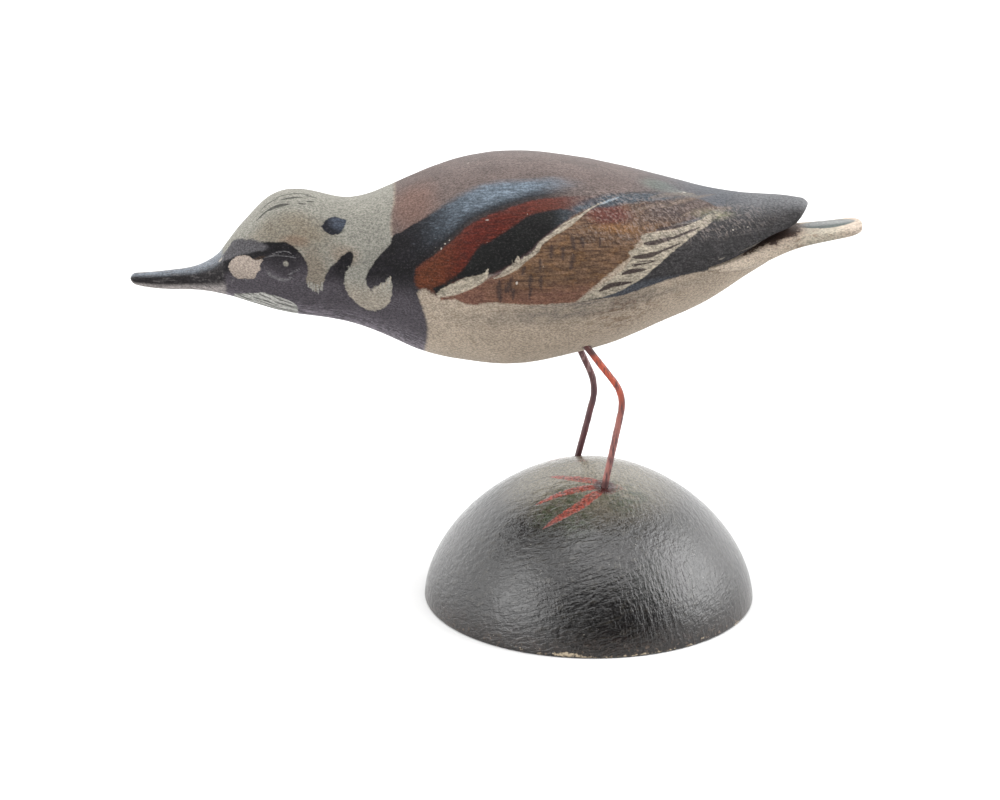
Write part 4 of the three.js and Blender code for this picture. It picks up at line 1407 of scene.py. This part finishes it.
def paint_bird(s):
    """Brushed oil paint with a fine grain under a worn satin varnish."""
    f = BirdFinish("painted_bird")
    tail_slate = f.two(s.slate, 0.42, 0.85, f.streaked)
    coat = f.mix(f.painted("head", 0.4, 0.7), belly_coat(f, s), head_coat(f, s))
    coat = f.mix(f.painted("saddle", 0.5, 1.3), coat, saddle_coat(f, s))
    coat = rear_wing(f, s, coat, tail_slate)
    coat = front_wing(f, s, coat, tail_slate)
    coat = face(f, s, coat)
    coat = f.mix(f.painted("bill", 0.5, 1.4), coat, bill_coat(f, s))
    # The crinkled varnish at the rear of the wing: real relief in the bump, painted glints and shade in the
    # colour.
    wrinkle = f.noise(2.2, (0.45, 1, 1), 2, 0.5, 0.8, shift=31, lean=-60)
    wrinkled_and_glinting = f.step(f.along, 58, 64) * f.step(f.along, 92, 80) * f.step(f.around, 42, 35)
    wrinkled_and_glinting = wrinkled_and_glinting * f.step(f.around, 14, 22)
    coat = wear_and_glints(f, s, coat, wrinkle, wrinkled_and_glinting)
    height = f.hairs * 0.5 + f.speckle * 0.45 + wrinkle * wrinkled_and_glinting * 2.2
    shiny = f.step(f.around, 56, 30) * f.step(f.along, 38, 48) * s.gloss
    shiny = shiny.or_more(f.painted("bill") * f.step(f.around, 60, 30) * 0.6)
    roughness = 0.62 - shiny * 0.4 + (f.patchy - 0.5) * 0.12
    return f.close(coat, roughness, height, s.paint_relief / MM, specular=0.13)


def paint_tail(s, name="painted_tail", always_stained_and_shaded=0.0):
    """Cream rump and tail with a slate oval on top and the dark under the wing tips, partly stain and
    partly painted shade.
    """
    f = BrushedFinish(name)
    x, y, _ = f.parts(f.place)
    slate = f.mix(f.step(y, 0.6, -1.4), srgb(140, 142, 140), srgb(68, 78, 74))
    # Dark red-brown under the wing tips: partly stain, partly painted shade under their overhang.
    stain_and_shade = f.step(f.attribute("stain_and_shade") + f.ragged * 1.7, -0.1, 0.15)
    around_stain_and_shade = f.step(f.attribute("stain_and_shade") + f.ragged * 1.2, -1.1, 0.1) * f.step(x, 26, 31)
    oval_edge = f.step(f.attribute("oval") + f.ragged * 0.6, -0.15, 0.15)
    coat = f.layered(
        f.two(s.cream, 1.14, 1.38, f.mottled),
        (f.step(f.hairs, 0.5, 0.75) * 0.3, shade(s.cream, 0.66)),
        (f.step(x, 31, 37) * f.step(x, 43, 39) * 0.35, srgb(150, 154, 138)),
        (f.step(x, 40, 43.5) * 0.4, srgb(186, 170, 156)),
        (f.step(f.scrub, 0.54, 0.68) * f.step(x, 28, 33) * 0.6, srgb(122, 96, 76)),
        (oval_edge, f.mix(f.streaked * 0.4, slate, srgb(60, 66, 66))),
        (around_stain_and_shade * 0.35, srgb(128, 98, 84)),
        (stain_and_shade.or_more(always_stained_and_shaded) * 0.95, f.mix(f.hairs, srgb(26, 18, 16), srgb(84, 58, 48))),
    )
    coat = f.grained(coat, f.speckle, s.grain)
    height = f.hairs * 0.5 + f.speckle * 0.45
    return f.close(coat, 0.6 + (f.patchy - 0.5) * 0.1, height, s.paint_relief / MM, specular=0.35)


def paint_drilled():
    """The dark, glue-smeared wood inside a drilled hole."""
    f = Finish("drilled_hole")
    grain = f.noise(2.0, (1, 1, 0.2), 3)
    return f.close(f.mix(grain, srgb(38, 22, 18), srgb(70, 44, 36)), 0.7)


def paint_leg(s, side):
    """Thin red paint over dark wire, rubbed through in lines, with painted highlights near the right leg's
    top.
    """
    f = Finish("painted_wire_" + side)
    streak = f.step(f.noise(1.6, (1, 1, 0.14), 3, 0.65), 0.34, 0.66)
    patchy = f.noise(0.35, (1, 1, 0.5), 3, shift=3)
    worn = f.step(f.noise(1.9, (1, 1, 0.2), 3, 0.6, shift=13), 0.5, 0.6)
    height = f.parts(f.place)[2]
    if side == "left":
        layers = [
            (f.step(height, 36.5, 41) * (0.2 + patchy), srgb(206, 88, 54)),
            (f.step(height, 38, 33) * 0.55, srgb(164, 116, 110)),
            (worn * 0.75, shade(s.dark, 0.7)),
        ]
    else:
        layers = [
            (0.6 + patchy * 0.3, s.dark),
            # Painted highlight: the right leg lighter pink in the rubbed lines near its top.
            (worn * f.step(height, 34, 40) * 0.8, srgb(176, 138, 134)),
        ]
    collar = f.step(height, 24.2, 23.2).or_more(f.step(height, 45.4, 46.2))
    coat = f.layered(f.two(s.red, 0.45, 1.1, streak), *layers, (collar * 0.85, srgb(66, 26, 26)))
    return f.close(coat, 0.42 + patchy * 0.15, streak * 0.6 + worn * 0.4, 0.05, specular=0.45)


def paint_stand(s):
    """Nearly black paint with crossed brush marks, green and grey on top, the grey partly painted sheen, a
    fine light grain partly painted glints, red toes and worn foot.
    """
    f = Finish("painted_stand")
    x, _, height = f.parts(f.place)
    patchy = f.noise(0.16, detail=3, rough=0.6)
    grain = f.noise(2.5, detail=3, rough=0.7, shift=7)
    scrub = f.noise(0.9, detail=3, rough=0.6, shift=3)
    flat = f.noise(1.7, (0.25, 0.5, 1.1), 3, 0.6, shift=11, lean=14)
    steep = f.noise(1.7, (1.1, 0.5, 0.25), 3, 0.6, shift=17, lean=12)
    rings = f.noise(0.6, (1, 0.12, 1), 3, 0.6, shift=29)
    ragged = grain - 0.5
    wobble = ragged * 1.1 + (scrub - 0.5) * 1.1
    green = f.step(f.attribute("toe_ground") + ragged * 2, -2.6, 1.8) * f.step(scrub, 0.36, 0.62)
    toe = f.step(f.attribute("toes") + wobble * 0.5, -0.12, 0.16)
    smears = f.step(f.attribute("smears") + ragged * 0.9, -0.3, 0.3)
    collar = f.step(f.attribute("collar") + ragged * 2.4, -0.4, 0.3)
    chips = f.step(f.attribute("chips") + ragged * 0.9, -0.05, 0.12)
    bare = f.step(f.attribute("underside"), 0.4, 0.6)
    low_specks = f.step(f.noise(1.6, detail=1, shift=41), 0.64, 0.68) * f.step(height, 2.6, 0.4)
    coat = f.layered(
        f.two(s.ground, 0.8, 1.25, patchy),
        # The greyer top: partly the paint's own grey, partly painted sheen from above.
        (f.step(height, 17, 24) * (0.4 + patchy * 0.9), s.upper),
        (f.step(height, 6, 0.5) * (0.2 + f.step(scrub, 0.4, 0.65) * 0.5), srgb(47, 35, 29)),
        (f.step(flat, 0.52, 0.7) * 0.16, shade(s.upper, 0.5)),
        (green * 0.8, s.green),
        (f.strokes("claws", ragged * 1.6, 0.7) * 0.5, srgb(26, 24, 22)),
        (toe * (0.6 + f.step(scrub, 0.32, 0.55) * 0.35), f.two(s.toes, 0.6, 1.1, f.step(grain, 0.3, 0.7))),
        (smears * f.step(grain, 0.4, 0.6) * 0.6, shade(s.toes, 0.6)),
        (collar * 0.95, srgb(56, 16, 16)),
        (chips, f.two(s.wood, 0.55, 1, grain)),
        (f.step(f.noise(1.9, detail=1, shift=19), 0.79, 0.82) * 0.6, srgb(168, 164, 154)),
        (low_specks * 0.4, srgb(140, 118, 100)),
        # A fine light grain below the top: partly dust in the brush marks, partly painted glints.
        (f.step(grain, 0.5, 0.66) * f.step(height, 24, 18) * 0.2, srgb(74, 72, 70)),
    )
    coat = f.grained(coat, f.step(grain, 0.36, 0.64), 0.9)
    coat = f.mix(bare, coat, f.two(s.wood, 0.55, 0.9, rings))
    roughness = 0.15 + (flat - 0.5) * 0.2 + bare * 0.4 + chips * 0.3 + toe * 0.1
    crossed = f.step(x, -2, 6)
    ridges = f.step(flat, 0.38, 0.62) * (1 - crossed * 0.6)
    ridges = ridges + f.step(steep, 0.38, 0.62) * (0.25 + crossed * 0.6)
    relief_height = ridges * 0.5 + flat * 0.3 + steep * 0.3 + grain * 0.5 + toe * 0.2
    return f.close(coat, roughness, relief_height, s.paint_relief / MM, specular=0.5)


def paint_floor(s):
    """Plain pale floor, very slightly mottled."""
    f = Finish("pale_floor")
    return f.close(f.two(s.floor, 0.98, 1, f.noise(0.02, detail=1)), 0.7, specular=0.1)


def light_room(s):
    """A bright room that is dark behind the camera, with a bright window on each side."""
    f = Finish("white_room", room=True)
    level = ROOM_LEVEL
    for turn, height, whole, gone, share in ROOM_LIGHT:
        a, e = math.radians(turn), math.radians(height)
        way = (math.sin(a) * math.cos(e), -math.cos(a) * math.cos(e), math.sin(e))
        near = f.vector("DOT_PRODUCT", f.place, way, out="Value")
        near = f.step(near, math.cos(math.radians(gone)), math.cos(math.radians(whole)))
        level = level + (share - level) * near
    f.node("OutputWorld", {}, {0: f.node("Background", {}, {"Strength": level * s.sky})})
    return f.material


# The operators.


class DECOY_OT_stage(bpy.types.Operator):
    """Lays the pale floor, lights the room and sets up the camera"""

    bl_idname = "decoy.stage"
    bl_label = "Stage"

    def execute(self, context):
        s = context.scene.decoy_stage
        mesh = bpy.data.meshes.new("floor")
        corners = [(x * FLOOR_REACH, y * FLOOR_REACH, 0) for x, y in ((-1, -1), (1, -1), (1, 1), (-1, 1))]
        mesh.from_pydata(corners, [], [(0, 1, 2, 3)])
        floor = bpy.data.objects.new("floor", mesh)
        context.scene.collection.objects.link(floor)
        mesh.materials.append(paint_floor(s))
        context.scene.world = light_room(s)
        data = bpy.data.cameras.new("camera")
        data.lens = s.lens
        data.sensor_width = SENSOR_WIDTH
        data.clip_start = NEAREST_SEEN
        camera = bpy.data.objects.new("camera", data)
        camera.location = s.camera
        camera.rotation_euler = (math.pi / 2 - s.pitch, 0, 0)
        context.scene.collection.objects.link(camera)
        context.scene.camera = camera
        context.scene.view_settings.view_transform = "Standard"
        return {"FINISHED"}


class DECOY_OT_bird(bpy.types.Operator):
    """Carves the bird from its block, drills it for the legs and paints it"""

    bl_idname = "decoy.bird"
    bl_label = "Bird"

    def execute(self, context):
        s = context.scene.decoy_bird
        # The knife's cut faces under the wing tips are painted dark nearly all over: partly stain, partly
        # painted shade.
        finishes = [paint_bird(s), paint_tail(s), paint_tail(s, "stained_and_shaded_cut", 0.9), paint_drilled()]
        bird = make_body(s, finishes)
        for side in (-1, 1):
            carve(bird, make_relief(side, finishes))
        carve(bird, make_tail(finishes), "UNION")
        for leg in LEGS.values():
            _, hip, _, up, _ = leg_line(leg)
            drill(bird, hip, up, HOLE_IN_BIRD, BIRD_HOLE_RADIUS, finishes, 3)
        mark_bird(bird.data)
        mark_sharp(bird.data, BIRD_SHARP)
        hips = Vector((x_at(LEGS["left"]["hip"]) * MM, 0, BIRD_LOW.z))
        resize(bird, hips, BIRD_HIGH - BIRD_LOW, (s.length, s.width, s.depth))
        place_on_body(bird, "bird")
        return {"FINISHED"}


class DECOY_OT_legs(bpy.types.Operator):
    """Bends and paints the two wire legs"""

    bl_idname = "decoy.legs"
    bl_label = "Legs"

    def execute(self, context):
        s = context.scene.decoy_legs
        for name, leg in LEGS.items():
            wire = make_wire("leg_" + name + "_painted", leg, s.radius / MM, [paint_leg(s, name)])
            place_on_body(wire, "leg_" + name)
        return {"FINISHED"}


class DECOY_OT_stand(bpy.types.Operator):
    """Turns, drills and paints the domed stand"""

    bl_idname = "decoy.stand"
    bl_label = "Stand"

    def execute(self, context):
        s = context.scene.decoy_stand
        finishes = [paint_stand(s), paint_drilled()]
        stand = make_dome(s, finishes)
        for leg in LEGS.values():
            foot, _, _, _, down = leg_line(leg)
            drill(stand, foot, down, HOLE_IN_STAND, STAND_HOLE_RADIUS, finishes, 1)
        mark_stand(stand.data)
        mark_sharp(stand.data, STAND_SHARP)
        resize(stand, Vector((0, 0, 0)), STAND_HIGH - STAND_LOW, (s.diameter, s.diameter, s.height))
        place_on_body(stand, "base")
        return {"FINISHED"}


class DECOY_PT_panel(bpy.types.Panel):
    """Lists the pieces and their sizes and colours"""

    bl_label = "Shorebird"
    bl_idname = "DECOY_PT_panel"
    bl_space_type = "VIEW_3D"
    bl_region_type = "UI"
    bl_category = "Shorebird"

    def draw(self, context):
        for name in GROUPS:
            box = self.layout.box()
            box.operator("decoy." + name)
            settings = getattr(context.scene, "decoy_" + name)
            for key in type(settings).__annotations__:
                box.prop(settings, key)


GROUPS = {
    "stage": StageSettings,
    "bird": BirdSettings,
    "legs": LegSettings,
    "stand": StandSettings,
}
CLASSES = [*GROUPS.values(), DECOY_OT_stage, DECOY_OT_bird, DECOY_OT_legs, DECOY_OT_stand, DECOY_PT_panel]


def register():
    for item in CLASSES:
        bpy.utils.register_class(item)
    for name, group in GROUPS.items():
        setattr(bpy.types.Scene, "decoy_" + name, PointerProperty(type=group))


def unregister():
    for name in GROUPS:
        delattr(bpy.types.Scene, "decoy_" + name)
    for item in reversed(CLASSES):
        bpy.utils.unregister_class(item)


def main():
    """Builds everything in order."""
    register()
    bpy.ops.decoy.stage()
    bpy.ops.decoy.bird()
    bpy.ops.decoy.legs()
    bpy.ops.decoy.stand()


if __name__ == "__main__":
    main()
